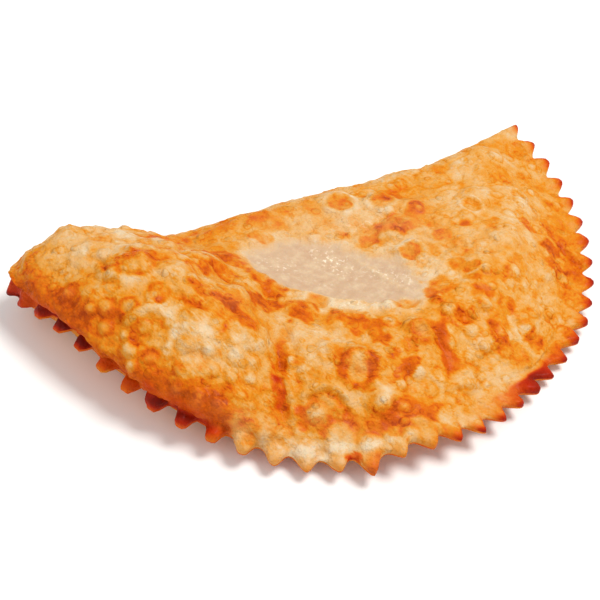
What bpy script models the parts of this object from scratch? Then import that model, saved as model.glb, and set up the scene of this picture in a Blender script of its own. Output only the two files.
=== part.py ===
"""Cheburek: a half-moon fried turnover with a cut, toothed seam, made as one closed solid.

Frame: +X runs along the fold from the drooping tip to the raised tip, +Z is up, and the rounded
toothed seam faces -Y.  The origin is on the table under the middle of the pastry, and the belly
stands on the table on a real flat at z = 0.  All working sizes below are in millimetres.
"""

import bpy
import numpy as np

MM = 0.001

# Plan of the seam: a half circle whose reach and lift change at even stations from tip to tip.
HALF_LENGTH = 100.0
DEPTH_RATIO = 1.10
RIM_REACH = (0.935, 0.935, 0.97, 1.015, 1.01, 0.99, 1.025, 1.03, 0.99)
RIM_LIFT = (7.5, 14.0, 10.5, 6.5, 5.0, 10.0, 7.0, 4.0, 4.5, 6.5, 9.5, 14.5)
CENTRE = (3.0, -53.0)

# The folded back edge: how far it bows out, how high it runs, and how high the top stands beside it.
FOLD_BOW = (0.0, 4.0, 3.5, -1.5, -2.5, -2.0, -2.0, -3.0, -4.0, -2.0, 0.0)
FOLD_LIFT = (11.5, 14.0, 12.0, 9.0, 8.0, 8.0, 8.0, 9.0, 10.0, 11.0, 15.0)
BACK_TOP = (19.0, 30.5, 22.0, 14.0, 16.5, 16.0, 17.0, 16.0, 17.5, 19.0, 17.5)

# The seam: dough pressed flat and cut with a fluted wheel.
TEETH = 36
TOOTH_DEPTH = (5.0, 5.0, 5.0, 4.4, 4.2, 4.0, 4.0, 4.0, 4.0)
TOOTH_POWER = (1.6, 1.6, 1.6, 1.5, 1.7, 1.5, 1.3, 1.2, 1.2)
TOOTH_SKEW = (0.0, 0.0, 0.02, 0.05, 0.06, 0.06, 0.06, 0.05, 0.03)
TOOTH_SHIFT = (0.0, -0.05, 0.06, 0.12, 0.14, 0.08, 0.05, 0.03, 0.04, 0.0, 0.0)
FLANGE_WIDTH = (1.2, 1.0, 1.4, 4.5, 6.0, 5.0, 4.0, 3.6, 2.6)
DOUGH_HALF = 1.3
EDGE_HALF = 0.7
TIP_DROOP = 4.0
TIP_SWELL = 2.8
FIRST_STEP = (0.5, 2.5)
LAST_STEP = (-2.0, 0.0)
TORN_TOOTH = 14.2

# How fast the filled part rises from the fold and from the seam.
FOLD_RISE = 10.0
LOBE_FOLD_RISE = 16.0
SEAM_RISE = (18.0, 24.0, 25.0, 22.0, 22.0, 22.0, 22.0, 20.0, 16.0)
# 0 is a steep wall over the seam, 1 a gentle slope.
SEAM_SOFTNESS = (0.1, 0.0, 0.1, 0.55, 0.8, 0.8, 0.85, 0.8, 0.7)
BELLY_FOLD_RISE = 14.0
BELLY_SEAM_RISE = 20.0

# Crown height and the lobes on it: x, y, half length, half width, turn in degrees, rise.
CROWN = 17.0
LOBES = (
    (-62, -20, 24, 20, 0, 12),
    (-56, -52, 26, 22, -35, 12),
    (-12, -86, 30, 20, 10, 3),
    (45, -62, 36, 34, 0, 4),
    (2, -35, 30, 20, -38, -3),
)
# The valley that runs from beside the flat patch down to the seam: two ends, half width, drop.
VALLEY = ((-29, -46), (-50, -98), 5.5, -5.0)
# The flat end beyond the filling, by the drooping tip: where it starts, its step's length and drop.
TIP_STEP = (-83.5, 4.0, 4.0)
# Where the filling leans out over the seam: place along the seam, spread, lean.
LEANS = ((0.15, 0.14, 7.0), (0.0, 0.06, 3.0), (0.635, 0.05, 5.0))

# The larger fry blisters: x, y, radius, height.
BLISTERS = (
    (-18, -78, 5.0, 2.2), (-22, -53, 4.4, 1.3), (-13, -63, 6.0, 1.6), (5, -74, 4.0, 1.8),
    (-24, -72, 3.6, 1.4), (-17, -92, 5.5, 2.4), (-11, -98, 5.0, 1.6), (-29, -84, 5.5, 1.6),
    (25, -83, 4.6, 1.8), (36, -26, 5.0, 1.5), (24, -32, 4.6, 1.2), (30, -31, 4.0, 1.0),
    (14, -17, 6.0, 1.1), (28, -19, 5.4, 1.1), (25, -43, 4.6, 1.5), (38, -60, 5.0, 1.4),
    (54, -52, 6.0, 1.6), (60, -30, 6.0, 1.4), (64, -64, 5.4, 1.5), (44, -80, 5.0, 1.5),
    (12, -92, 5.4, 1.6), (72, -40, 5.0, 1.2), (-40, -26, 7.0, 1.8), (-48, -14, 6.0, 1.8),
    (-58, -8, 6.5, 1.8), (-72, -14, 6.0, 1.8), (-66, -28, 6.5, 1.8), (-54, -34, 6.0, 1.8),
    (-70, -44, 6.0, 2.0), (-58, -56, 7.0, 2.0), (-46, -62, 6.0, 1.8), (-66, -64, 5.5, 2.0),
    (-38, -44, 5.5, 1.6), (-56, -76, 5.0, 1.8), (-80, -30, 5.0, 1.8), (-42, -76, 5.0, 1.6),
)

# Mesh fineness.
STEPS_PER_TOOTH = 4
TOP_ROWS = 34
BELLY_ROWS = 12


def smooth_through(values, place):
    """Smooth curve through values at even stations, place running from 0 to 1."""
    values = np.asarray(values, float)
    last = len(values) - 1
    along = np.clip(place, 0.0, 1.0) * last
    index = np.minimum(along.astype(int), last - 1)
    part = along - index
    ends = [2 * values[0] - values[1]], values, [2 * values[-1] - values[-2]]
    padded = np.concatenate(ends)
    a = padded[index]
    b = padded[index + 1]
    c = padded[index + 2]
    d = padded[index + 3]
    bend = 2 * a - 5 * b + 4 * c - d + part * (3 * (b - c) + d - a)
    return b + 0.5 * part * (c - a + part * bend)


def ease(value):
    """Soft step from 0 to 1."""
    value = np.clip(value, 0.0, 1.0)
    return value * value * (3 - 2 * value)


def rise(distance, width):
    """Quarter ellipse: 0 at distance 0, steep there, and level at 1 from the stated width on."""
    part = np.clip(distance / width, 0.0, 1.0)
    return np.sqrt(np.clip(1 - (1 - part) ** 2, 0.0, 1.0))


def lobe(x, y, shape):
    """Height of one soft lobe, a turned bell."""
    centre_x, centre_y, length, width, turn, height = shape
    angle = np.radians(turn)
    along = (x - centre_x) * np.cos(angle) + (y - centre_y) * np.sin(angle)
    across = (y - centre_y) * np.cos(angle) - (x - centre_x) * np.sin(angle)
    return height * np.exp(-(along / length) ** 2 - (across / width) ** 2)


def line_distance(x, y, start, end):
    """Distance in plan from a straight line between two points, and the place along it."""
    run_x = end[0] - start[0]
    run_y = end[1] - start[1]
    place = ((x - start[0]) * run_x + (y - start[1]) * run_y) / (run_x ** 2 + run_y ** 2)
    place = np.clip(place, 0.0, 1.0)
    return np.hypot(x - start[0] - place * run_x, y - start[1] - place * run_y), place


def seam_path(place):
    """Points of the tooth tips line, the outward direction in plan, and the length of the line."""
    t = np.linspace(0.0, 1.0, 2001)
    angle = np.pi * t
    reach = HALF_LENGTH * smooth_through(RIM_REACH, t)
    line = np.stack([-reach * np.cos(angle), -DEPTH_RATIO * reach * np.sin(angle),
                     smooth_through(RIM_LIFT, t)], -1)
    steps = np.linalg.norm(np.diff(line, axis=0), axis=1)
    run = np.concatenate([[0.0], np.cumsum(steps)])
    at = np.interp(place * run[-1], run, t)
    points = np.stack([np.interp(at, t, line[:, k]) for k in range(3)], -1)
    slope = np.gradient(line, axis=0)
    slope_x = np.interp(at, t, slope[:, 0])
    slope_y = np.interp(at, t, slope[:, 1])
    outward = np.stack([slope_y, -slope_x], -1)
    outward /= np.linalg.norm(outward, axis=1)[:, None]
    return points, outward, run[-1]


def crown_height(x, y, place, from_fold):
    """Height of the filled top: a level crown, its lobes and valley, and the back edge's own height."""
    height = np.full_like(x, CROWN)
    for shape in LOBES:
        height = height + lobe(x, y, shape)
    distance, along = line_distance(x, y, VALLEY[0], VALLEY[1])
    height = height + VALLEY[3] * np.exp(-(distance / VALLEY[2]) ** 2) * (0.4 + 0.6 * along)
    inside = ease(from_fold / 30.0)
    height = smooth_through(BACK_TOP, place) * (1 - inside) + height * inside
    return height - TIP_STEP[2] * ease((TIP_STEP[0] - x) / TIP_STEP[1])


def lines_of_form(place):
    """The seam's tooth-tip line, the line where the filling starts, and the folded back edge."""
    tips, outward, length = seam_path(place)
    margin = smooth_through(np.add(TOOTH_DEPTH, FLANGE_WIDTH), place)
    near_first = np.exp(-(place * length / 18.0) ** 2)
    root = tips.copy()
    root[:, :2] -= outward * (margin * (1 - 0.7 * near_first))[:, None]
    root[:, 2] += TIP_DROOP * near_first
    first = root[0] + np.array([FIRST_STEP[0], FIRST_STEP[1], 0.0])
    last = root[-1] + np.array([LAST_STEP[0], LAST_STEP[1], 0.0])
    if place[0] > 0.0 or place[-1] < 1.0:
        raise ValueError("columns run from tip to tip")
    fold = first + (last - first) * place[:, None]
    fold[:, 1] += smooth_through(FOLD_BOW, place)
    fold[:, 2] = smooth_through(FOLD_LIFT, place)
    return tips, root, fold, outward, near_first


def body_grid(place, rows):
    """Top and belly of the filled part, as grids of points from the fold to the seam's root."""
    tips, root, fold, outward, near_first = lines_of_form(place)
    even = np.linspace(0.0, 1.0, rows + 1)
    share = 0.45 * even + 0.55 * (0.5 - 0.5 * np.cos(np.pi * even))
    plan = fold[:, None, :] + (root - fold)[:, None, :] * share[None, :, None]
    x = plan[..., 0]
    y = plan[..., 1]
    middle = plan[..., 2]
    from_fold = fold[:, None, 1] - y
    gap = root[:, None, :2] - plan[..., :2]
    from_root = (gap * outward[:, None, :]).sum(-1)
    along_column = np.linalg.norm(plan[..., :2] - fold[:, None, :2], axis=-1)
    dough = (DOUGH_HALF + TIP_SWELL * near_first[:, None]) * rise(along_column, 2.0)
    fold_rise = FOLD_RISE + (LOBE_FOLD_RISE - FOLD_RISE) * np.exp(-((place - 0.14) / 0.12) ** 2)
    seam_rise = smooth_through(SEAM_RISE, place)[:, None]
    soft = np.clip(smooth_through(SEAM_SOFTNESS, place), 0.0, 1.0)[:, None]
    climb = (1 - soft) * rise(from_root, seam_rise) + soft * ease(from_root / (1.15 * seam_rise))
    filled = rise(from_fold, fold_rise[:, None]) * climb
    crown = crown_height(x, y, place[:, None] + 0 * x, from_fold)
    top_z = middle + dough + np.maximum(crown - middle - dough, 0.0) * filled
    resting = rise(from_fold, BELLY_FOLD_RISE) * rise(from_root, BELLY_SEAM_RISE)
    belly_z = (middle - dough) * (1 - resting)
    lean = np.zeros_like(place)
    for where, spread, amount in LEANS:
        lean = lean + amount * np.exp(-((place - where) / spread) ** 2)
    part = rise(from_root, seam_rise)
    push = lean[:, None] * np.sin(np.pi * part ** 1.1) * rise(from_fold, 12.0)
    top_x = x + outward[:, None, 0] * push
    top_y = y + outward[:, None, 1] * push
    return np.stack([top_x, top_y, top_z], -1), np.stack([x, y, belly_z], -1)


def tooth_shape(place):
    """Reach of the cut edge from its notches, 0 to 1: a leaning raised cosine to a power."""
    phase = place * (TEETH - 1) - smooth_through(TOOTH_SHIFT, place)
    skew = smooth_through(TOOTH_SKEW, place)
    wave = 0.5 + 0.5 * np.cos(2 * np.pi * (phase - skew * (np.cos(2 * np.pi * phase) - 1)))
    return wave ** smooth_through(TOOTH_POWER, place)


def flange_grid(place, side):
    """Rows of the pressed seam from its root to the cut edge, on the upper (+1) or lower (-1) side."""
    tips, root, fold, outward, near_first = lines_of_form(place)
    torn = np.exp(-((place * (TEETH - 1) - TORN_TOOTH) / 0.40) ** 2)
    depth = smooth_through(TOOTH_DEPTH, place) * (1 - 0.55 * near_first)
    reach = depth * tooth_shape(place) + 1.8 * torn
    edge = tips.copy()
    edge[:, :2] += outward * (reach - depth)[:, None]
    edge[:, 2] -= 2.0 * torn
    rows = []
    for share in (0.0, 0.35, 0.7, 1.0):
        row = root + (edge - root) * share
        half = DOUGH_HALF + (EDGE_HALF - DOUGH_HALF) * share ** 2 + TIP_SWELL * near_first * (1 - share)
        row[:, 2] += side * half
        rows.append(row)
    return np.stack(rows, 1)


def point_normals(grid):
    """Upward unit normals of a grid of points."""
    along = np.gradient(grid, axis=0)
    across = np.gradient(grid, axis=1)
    normal = np.cross(across, along)
    normal *= np.sign(normal[..., 2:3].mean())
    size = np.linalg.norm(normal, axis=-1, keepdims=True)
    return normal / np.maximum(size, 1e-9)


def raise_blisters(top):
    """Push low domes out of the top along its normals; where two meet, the higher one stays."""
    normal = point_normals(top)
    lift = np.zeros(top.shape[:2])
    for x, y, radius, height in BLISTERS:
        away = np.hypot(top[..., 0] - x, top[..., 1] - y)
        spot = np.unravel_index(np.argmin(away), away.shape)
        distance = np.linalg.norm(top - top[spot], axis=-1)
        dome = height * np.clip(1 - (distance / (1.25 * radius)) ** 2, 0.0, 1.0) ** 1.2
        lift = np.maximum(lift, dome)
    from_fold = np.linalg.norm(top - top[:, :1], axis=-1)
    from_root = np.linalg.norm(top - top[:, -1:], axis=-1)
    from_tips = np.minimum(np.linalg.norm(top - top[:1], axis=-1), np.linalg.norm(top - top[-1:], axis=-1))
    lift *= ease(from_fold / 5.0) * ease(from_root / 5.0) * ease(from_tips / 5.0)
    return top + normal * lift[..., None]


class Skin:
    """Collects shared points and faces for one closed mesh."""

    def __init__(self):
        self.points = []
        self.faces = []

    def add_row(self, row):
        """Add a row of points and give back their numbers."""
        start = len(self.points)
        self.points.extend([tuple(point) for point in row])
        return list(range(start, start + len(row)))

    def join(self, near, far, turned):
        """Faces between two rows; far has as many points as near, or twice its gaps."""
        double = len(far) > len(near)
        for k in range(len(near) - 1):
            if double:
                fan = [(near[k], far[2 * k], far[2 * k + 1])]
                fan.append((near[k], far[2 * k + 1], near[k + 1]))
                fan.append((near[k + 1], far[2 * k + 1], far[2 * k + 2]))
            else:
                fan = [(near[k], far[k], far[k + 1]), (near[k], far[k + 1], near[k + 1])]
            for face in fan:
                self.faces.append(face if turned else face[::-1])


def build_skin():
    """The whole surface: fold, top, flange, cut edge, lower flange and belly, closed at both tips."""
    fine = np.linspace(0.0, 1.0, (TEETH - 1) * STEPS_PER_TOOTH + 1)
    coarse = fine[::2]
    top = raise_blisters(body_grid(coarse, TOP_ROWS)[0])
    belly = body_grid(coarse, BELLY_ROWS)[1]
    over = flange_grid(fine, 1.0)
    under = flange_grid(fine, -1.0)
    skin = Skin()
    fold_row = skin.add_row(top[:, 0])
    loop = [fold_row]
    for k in range(1, TOP_ROWS):
        loop.append(skin.add_row(top[:, k]))
    loop.append(skin.add_row(over[::2, 0]))
    for k in range(1, over.shape[1]):
        loop.append(skin.add_row(over[:, k]))
    for k in reversed(range(1, under.shape[1])):
        loop.append(skin.add_row(under[:, k]))
    loop.append(skin.add_row(under[::2, 0]))
    for k in reversed(range(1, BELLY_ROWS)):
        loop.append(skin.add_row(belly[:, k]))
    loop.append(fold_row)
    for near, far in zip(loop[:-1], loop[1:]):
        if len(near) > len(far):
            skin.join(far, near, False)
        else:
            skin.join(near, far, True)
    for side in (0, -1):
        ring = [row[side] for row in loop[:-1]]
        tops = ring[:TOP_ROWS + over.shape[1]]
        lows = [ring[0]] + ring[:TOP_ROWS + over.shape[1] - 1:-1]
        close_end(skin, tops, lows, side == 0)
    return skin


def close_end(skin, tops, lows, turned):
    """Close one tip between its upper and lower outline, both starting at the fold."""
    points = np.array(skin.points)
    high = 0
    low = 0
    while high < len(tops) - 1 or low < len(lows) - 1:
        step_high = low == len(lows) - 1
        if not step_high and high < len(tops) - 1:
            origin = points[tops[0]][:2]
            reach_high = np.linalg.norm(points[tops[high + 1]][:2] - origin)
            reach_low = np.linalg.norm(points[lows[low + 1]][:2] - origin)
            step_high = reach_high <= reach_low
        if step_high:
            face = (tops[high], tops[high + 1], lows[low])
            high += 1
        else:
            face = (tops[high], lows[low + 1], lows[low])
            low += 1
        if len(set(face)) == 3:
            skin.faces.append(face[::-1] if turned else face)


def clear_scene():
    """Remove every object and mesh that is there before the build."""
    for thing in list(bpy.data.objects):
        bpy.data.objects.remove(thing, do_unlink=True)


def crust_material():
    """Plain golden crust colour for the solid."""
    material = bpy.data.materials.new("fried_crust")
    material.use_nodes = True
    shader = material.node_tree.nodes["Principled BSDF"]
    shader.inputs["Base Color"].default_value = (0.80, 0.32, 0.08, 1.0)
    shader.inputs["Roughness"].default_value = 0.45
    return material


def build_pastry():
    """Make the one solid."""
    skin = build_skin()
    points = np.array(skin.points)
    points[:, 0] -= CENTRE[0]
    points[:, 1] -= CENTRE[1]
    mesh = bpy.data.meshes.new("pastry")
    mesh.from_pydata((points * MM).tolist(), [], skin.faces)
    mesh.materials.append(crust_material())
    mesh.update()
    mesh.validate()
    pastry = bpy.data.objects.new("pastry", mesh)
    bpy.context.scene.collection.objects.link(pastry)
    return pastry


clear_scene()
build_pastry()
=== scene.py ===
"""Cheburek: the finished look of a half-moon fried turnover.

The dough is one closed skin, worked out with numpy as a grid that runs from the folded back edge
over the crown and the pressed seam to the cut teeth, and back under the belly to the fold.
Lengths in the tables below are in millimetres, apart from the stage's; the properties are in metres.
"""

from types import SimpleNamespace

import bpy
import numpy as np
from mathutils import Matrix


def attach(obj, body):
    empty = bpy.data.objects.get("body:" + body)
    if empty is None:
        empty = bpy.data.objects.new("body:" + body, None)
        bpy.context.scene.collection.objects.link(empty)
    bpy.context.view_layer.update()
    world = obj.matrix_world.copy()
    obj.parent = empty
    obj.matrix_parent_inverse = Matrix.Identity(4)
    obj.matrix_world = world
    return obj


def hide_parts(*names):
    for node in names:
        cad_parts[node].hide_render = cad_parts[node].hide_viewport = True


bl_info = {
    "name": "Cheburek",
    "version": (1, 0, 0),
    "blender": (4, 5, 0),
    "location": "View3D > Sidebar > Cheburek",
    "description": "Builds a half-moon fried turnover with a toothed seam",
    "category": "Object",
}

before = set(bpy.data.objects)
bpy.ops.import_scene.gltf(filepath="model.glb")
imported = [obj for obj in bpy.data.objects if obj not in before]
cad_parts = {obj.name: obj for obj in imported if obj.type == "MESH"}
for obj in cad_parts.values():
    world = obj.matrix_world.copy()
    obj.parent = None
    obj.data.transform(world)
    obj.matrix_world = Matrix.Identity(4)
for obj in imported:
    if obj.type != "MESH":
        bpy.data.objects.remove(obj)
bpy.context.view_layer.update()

MM = 0.001

# Grid of the skin: columns along the seam, and rows over the top, under the belly and on the seam.
# The top's rows are a multiple of the belly's, which the end caps rely on.
COLUMNS = 420
TOP_ROWS = 165
BELLY_ROWS = 33
FLANGE_ROWS = 10
# The dough is shaped from the middle of its fold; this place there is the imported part's origin.
ORIGIN = (3.0, -53.0, 0.0)
TONE_NAMES = ("brown", "red", "pale", "patch", "fleck")

# Seam: its length in a round number, and the gaps between its 36 teeth.
SEAM_LENGTH = 330.0
TOOTH_GAPS = 35
# Torn tooth: middle and half width, in gaps from the hanging tip, its extra reach and its sag, and
# the middle and half width of its browning, in the teeth's own phase.
TORN_TOOTH = (14.2, 0.40)
TORN_REACH = 1.8
TORN_SAG = 2.0
TORN_BROWN = (14.07, 0.36)
# Stretches of the seam: middle and half width, as shares of its length from the hanging tip.
MOUND_FOLD = (0.14, 0.12)
NEAR_WALL = (0.13, 0.15)
PLUMP_TEETH = (0.15, 0.14)
WALL_CREVICE = (0.15, 0.15)
# SHADED_WALL is where shade is painted down the near wall, DARK_CORNER where it is painted under the
# right-front overhang.
SHADED_WALL = (0.145, 0.155)
HANGING_END = (0.0, 0.045)
DARK_CORNER = (0.605, 0.048)
CREAM_TEETH = (0.37, 0.09)
# Where the seam changes: a place along it, and how much of it the change takes.
LOBED_UNTIL = (0.34, 0.10)
CROOK_UNTIL = (0.30, 0.05)
RED_TIPS_FROM = (0.45, 0.05)
FAR_FROM = (0.5, 0.1)
# Patches of deeper painted shade on the near wall: the middle of one, and the step to the next.
WALL_PATCHES = (0.235, 0.15)

# How far the hanging tip's droop and swell reach, and how long its rounded end is.
TIP_REACH = 18.0
TIP_ROUND = 5.0
# The fold's two ends, from the ends of the seam's root.
FOLD_START = (0.5, 2.5, 0.0)
FOLD_END = (-2.0, 0.0, 0.0)
# Roundings: of the fold, of the cut edge, and the fillet at the root of the seam with its passes.
FOLD_ROUND = 2.0
EDGE_ROUND = 1.8
FILLET = 3.0
FILLET_ROUNDS = 60
# Run from the fold to full height, and what the mound adds to it.
FOLD_RISE = 10.0
MOUND_RISE = 6.0
# Run from the fold and from the seam to where the belly rests on the table.
BELLY_FROM_FOLD = 14.0
BELLY_FROM_ROOT = 20.0
# Run from the fold to the level crown.
CROWN_RUN = 30.0
# Run from the hanging tip and from the fold to the full lean, and how much the near wall bulges.
LEAN_START = 10.0
LEAN_FROM_FOLD = 12.0
WALL_SWELL = 2.8
# Run over which the relief fades in: from the fold and the seam's two ends, and from the cut edge.
CALM_BORDER = 4.0
CALM_EDGE = 1.6
# Where the left begins in x and how soon it is full, and the front's middle and half width in y.
LEFT_FROM = -20
LEFT_RUN = 30.0
FRONT = (-85, 22.0)
# What a fallen blister adds to the browning: on its ring, and just inside it.
DARK_RING = (0.15, -0.06)
PALE_RING = (-0.20, 0.16)
# Points that the line of the tooth tips is worked out at.
PATH_POINTS = 2001
# Least spacing of grid points that a stamp's window allows for.
LEAST_STEP = 0.12
# Browning of plain crust, and how far the pale patch lies below it.
CRUST_BROWN = 0.325
PATCH_SAG = 0.5

# The dough's own lobes: x, y, half length, half width, turn in degrees, rise.
LOBES = (
    (-62, -20, 24, 20, 0, 12),
    (-56, -52, 26, 22, -35, 12),
    (-12, -86, 30, 20, 10, 3),
    (45, -62, 36, 34, 0, 4),
    (2, -35, 30, 20, -38, -3),
)
# Valley from beside the pale patch down to the seam: two ends, half width, drop.
VALLEY = ((-29, -46), (-50, -98), 5.5, -5.0)
# The flat end beyond the filling, by the drooping tip: where it starts, its step's length and drop.
TIP_STEP = (-83.5, 4.0, 4.0)
# Where the filling leans out over the seam: place along the seam, spread, lean.
LEANS = ((0.16, 0.15, 7.5), (0.0, 0.06, 3.0), (0.635, 0.05, 5.0))

# Larger fry blisters: x, y, radius, height.
BLISTERS = (
    (-18, -78, 5.0, 2.2), (-22, -53, 4.4, 1.3), (-13, -63, 6.0, 1.6), (5, -74, 4.0, 1.8),
    (-24, -72, 3.6, 1.4), (-17, -92, 5.5, 2.4), (-11, -98, 5.0, 1.6), (-29, -84, 5.5, 1.6),
    (25, -83, 4.6, 1.8), (36, -26, 5.0, 1.5), (24, -32, 4.6, 1.2), (30, -31, 4.0, 1.0),
    (14, -17, 6.0, 1.1), (28, -19, 5.4, 1.1), (25, -43, 4.6, 1.5), (38, -60, 5.0, 1.4),
    (54, -52, 6.0, 1.6), (60, -30, 6.0, 1.4), (64, -64, 5.4, 1.5), (44, -80, 5.0, 1.5),
    (12, -92, 5.4, 1.6), (72, -40, 5.0, 1.2), (-40, -26, 7.0, 1.8), (-48, -14, 6.0, 1.8),
    (-58, -8, 6.5, 1.8), (-72, -14, 6.0, 1.8), (-66, -28, 6.5, 1.8), (-54, -34, 6.0, 1.8),
    (-70, -44, 6.0, 2.0), (-58, -56, 7.0, 2.0), (-46, -62, 6.0, 1.8), (-66, -64, 5.5, 2.0),
    (-38, -44, 5.5, 1.6), (-56, -76, 5.0, 1.8), (-80, -30, 5.0, 1.8), (-42, -76, 5.0, 1.6),
)
# Fallen blisters, a raised ring round a sunk middle: x, y, ring radius, ring height, dark ring.
RINGS = (
    (16, -14, 5.4, 0.5, 0), (29, -19, 4.4, 0.5, 0), (24, -44, 4.2, 0.6, 0), (5, -77, 3.0, 1.0, 1),
    (-26, -74, 2.2, 0.8, 1), (-19, -81, 5.0, 0.9, 1), (8, -63, 5.4, 0.5, 0), (40, -50, 3.0, 0.5, 1),
    (-6, -72, 2.4, 0.5, 1), (-48, -60, 3.4, 0.5, 1), (-70, -50, 6.5, 0.6, 0), (28, -76, 3.0, 0.7, 1),
    (-15, -51, 4.8, 0.4, 0), (-72, -39, 2.6, 0.8, 1), (54, -34, 3.4, 0.5, 0), (75, -33, 3.2, 0.5, 0),
    (21.4, -75.8, 3.4, 0.6, 0), (30.5, -82.7, 2.8, 0.5, 1),
)
# Small crisp bubbles seen one by one: x, y, radius, height.
BUBBLES = (
    (-84, -23, 2.4, 1.3), (-77, -36, 2.6, 1.4), (-72, -39, 2.4, 1.3), (-80, -40, 2.4, 1.2),
    (-77, -50, 2.6, 1.3), (-75, -57, 2.2, 1.2), (-70, -64, 2.6, 1.4), (-64, -58, 2.4, 1.2),
    (-60, -66, 2.2, 1.1), (-66, -71, 2.4, 1.2), (-58, -62, 2.0, 1.0), (-52, -66, 2.2, 1.1),
    (-50, -72, 1.9, 1.0), (-55, -70, 1.8, 1.0), (-47, -68, 2.0, 1.0), (-61, -75, 2.0, 1.1),
    (-35, -71, 1.6, 0.8), (-36, -87, 3.2, 1.4), (-18, -93, 2.8, 1.2), (4, -62, 2.6, 0.9),
    (-1, -69, 2.2, 0.8), (-10, -90, 2.0, 0.9), (-13, -96, 1.8, 0.9), (22, -80, 2.4, 0.9),
    (31, -74, 2.0, 0.9), (12, -82, 2.2, 0.9), (18, -72, 2.4, 0.9), (48, -66, 2.6, 0.9),
    (-65, -40, 2.4, 1.2), (-33, -96, 4.4, 1.0), (-26, -101, 3.2, 0.9), (-43, -94, 3.0, 1.0),
    (-58, -81, 3.0, 1.2), (-52, -85, 2.8, 1.0), (-46, -88, 2.6, 0.8), (-15, -104, 2.8, 0.9),
    (-81, -33, 1.8, 1.0), (-76.9, -34.9, 2.2, 1.1), (-82, -43, 2.0, 1.2), (-78.3, -54, 2.0, 1.2),
    (-74.4, -61.2, 2.7, 1.6), (-70, -66, 1.9, 1.2), (-73.3, -55.7, 1.8, 0.9), (-65, -70, 2.2, 1.2),
    (-61.7, -74, 2.4, 1.1), (-83, -24, 1.9, 1.1), (-76, -58, 1.4, 0.9), (-68, -62, 1.6, 0.9),
)
# Where few small blisters rise: x, y, half length, half width, turn.
SMOOTH_HUMP = (-66, -10, 26, 15, 0)
# Scattered blisters: count, least and greatest radius, least and greatest steepness, seed.
MIDDLING = (280, 1.1, 2.6, 0.10, 0.33, 44)
FINE = (1500, 0.6, 1.2, 0.15, 0.40, 45)
# Scattered flat spots: count, least radius, how much wider the widest is, seed.
DISCS = (190, 1.3, 2.6, 46)
# Folds and cracks in the skin: points along the line, half width, height, browning.
CREASES = (
    (((8, -37), (9, -43), (10, -50), (13, -58)), 1.3, 0.6, -0.30),
    (((-36, -83), (-32, -83), (-29, -86), (-28, -91)), 0.9, -0.8, 0.45),
    (((-37, -81), (-32, -81), (-28, -84), (-26, -89)), 1.0, 0.9, -0.15),
    (((-35, -56), (-38, -68), (-43, -77), (-45, -88)), 1.6, -1.0, 0.22),
    (((-32, -60), (-34, -70), (-39, -80)), 1.0, -0.5, 0.12),
    (((-47, -26), (-44, -28), (-41, -31), (-38, -36)), 0.8, -0.7, 0.50),
    (((-38, -36), (-36, -46), (-38, -54)), 1.0, -0.6, 0.25),
    (((-58, -44), (-56, -47), (-54, -51)), 0.9, -0.6, 0.40),
    (((-48, -44), (-46, -48), (-45, -53)), 1.0, -0.6, 0.45),
    (((-70, -27), (-67, -30), (-64, -32)), 0.7, -0.5, 0.45),
    (((-73, -16), (-70, -14), (-66, -15)), 1.6, -0.5, 0.24),
    (((-72, -18), (-72, -24)), 0.7, -0.6, 0.40),
    (((10, -75), (10, -80), (9, -86), (8, -90)), 1.2, -0.7, 0.20),
    (((-2, -82), (-6, -88), (-9, -92)), 1.0, -0.5, 0.15),
    (((-34, -66), (-39, -77), (-45, -92)), 1.5, 0.6, -0.24),
    (((-3, -87), (2, -92), (8, -94)), 1.2, 0.7, -0.10),
    (((77, -50), (79, -58), (80, -64), (79, -70)), 0.8, -0.8, 0.25),
    (((-60, -12), (-50, -18), (-46, -26)), 1.0, -0.5, 0.12),
    (((30, -66), (34, -70), (38, -72)), 1.0, -0.6, 0.20),
    (((-84, -14), (-78, -20), (-74, -28)), 1.0, -0.5, 0.10),
)
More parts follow.
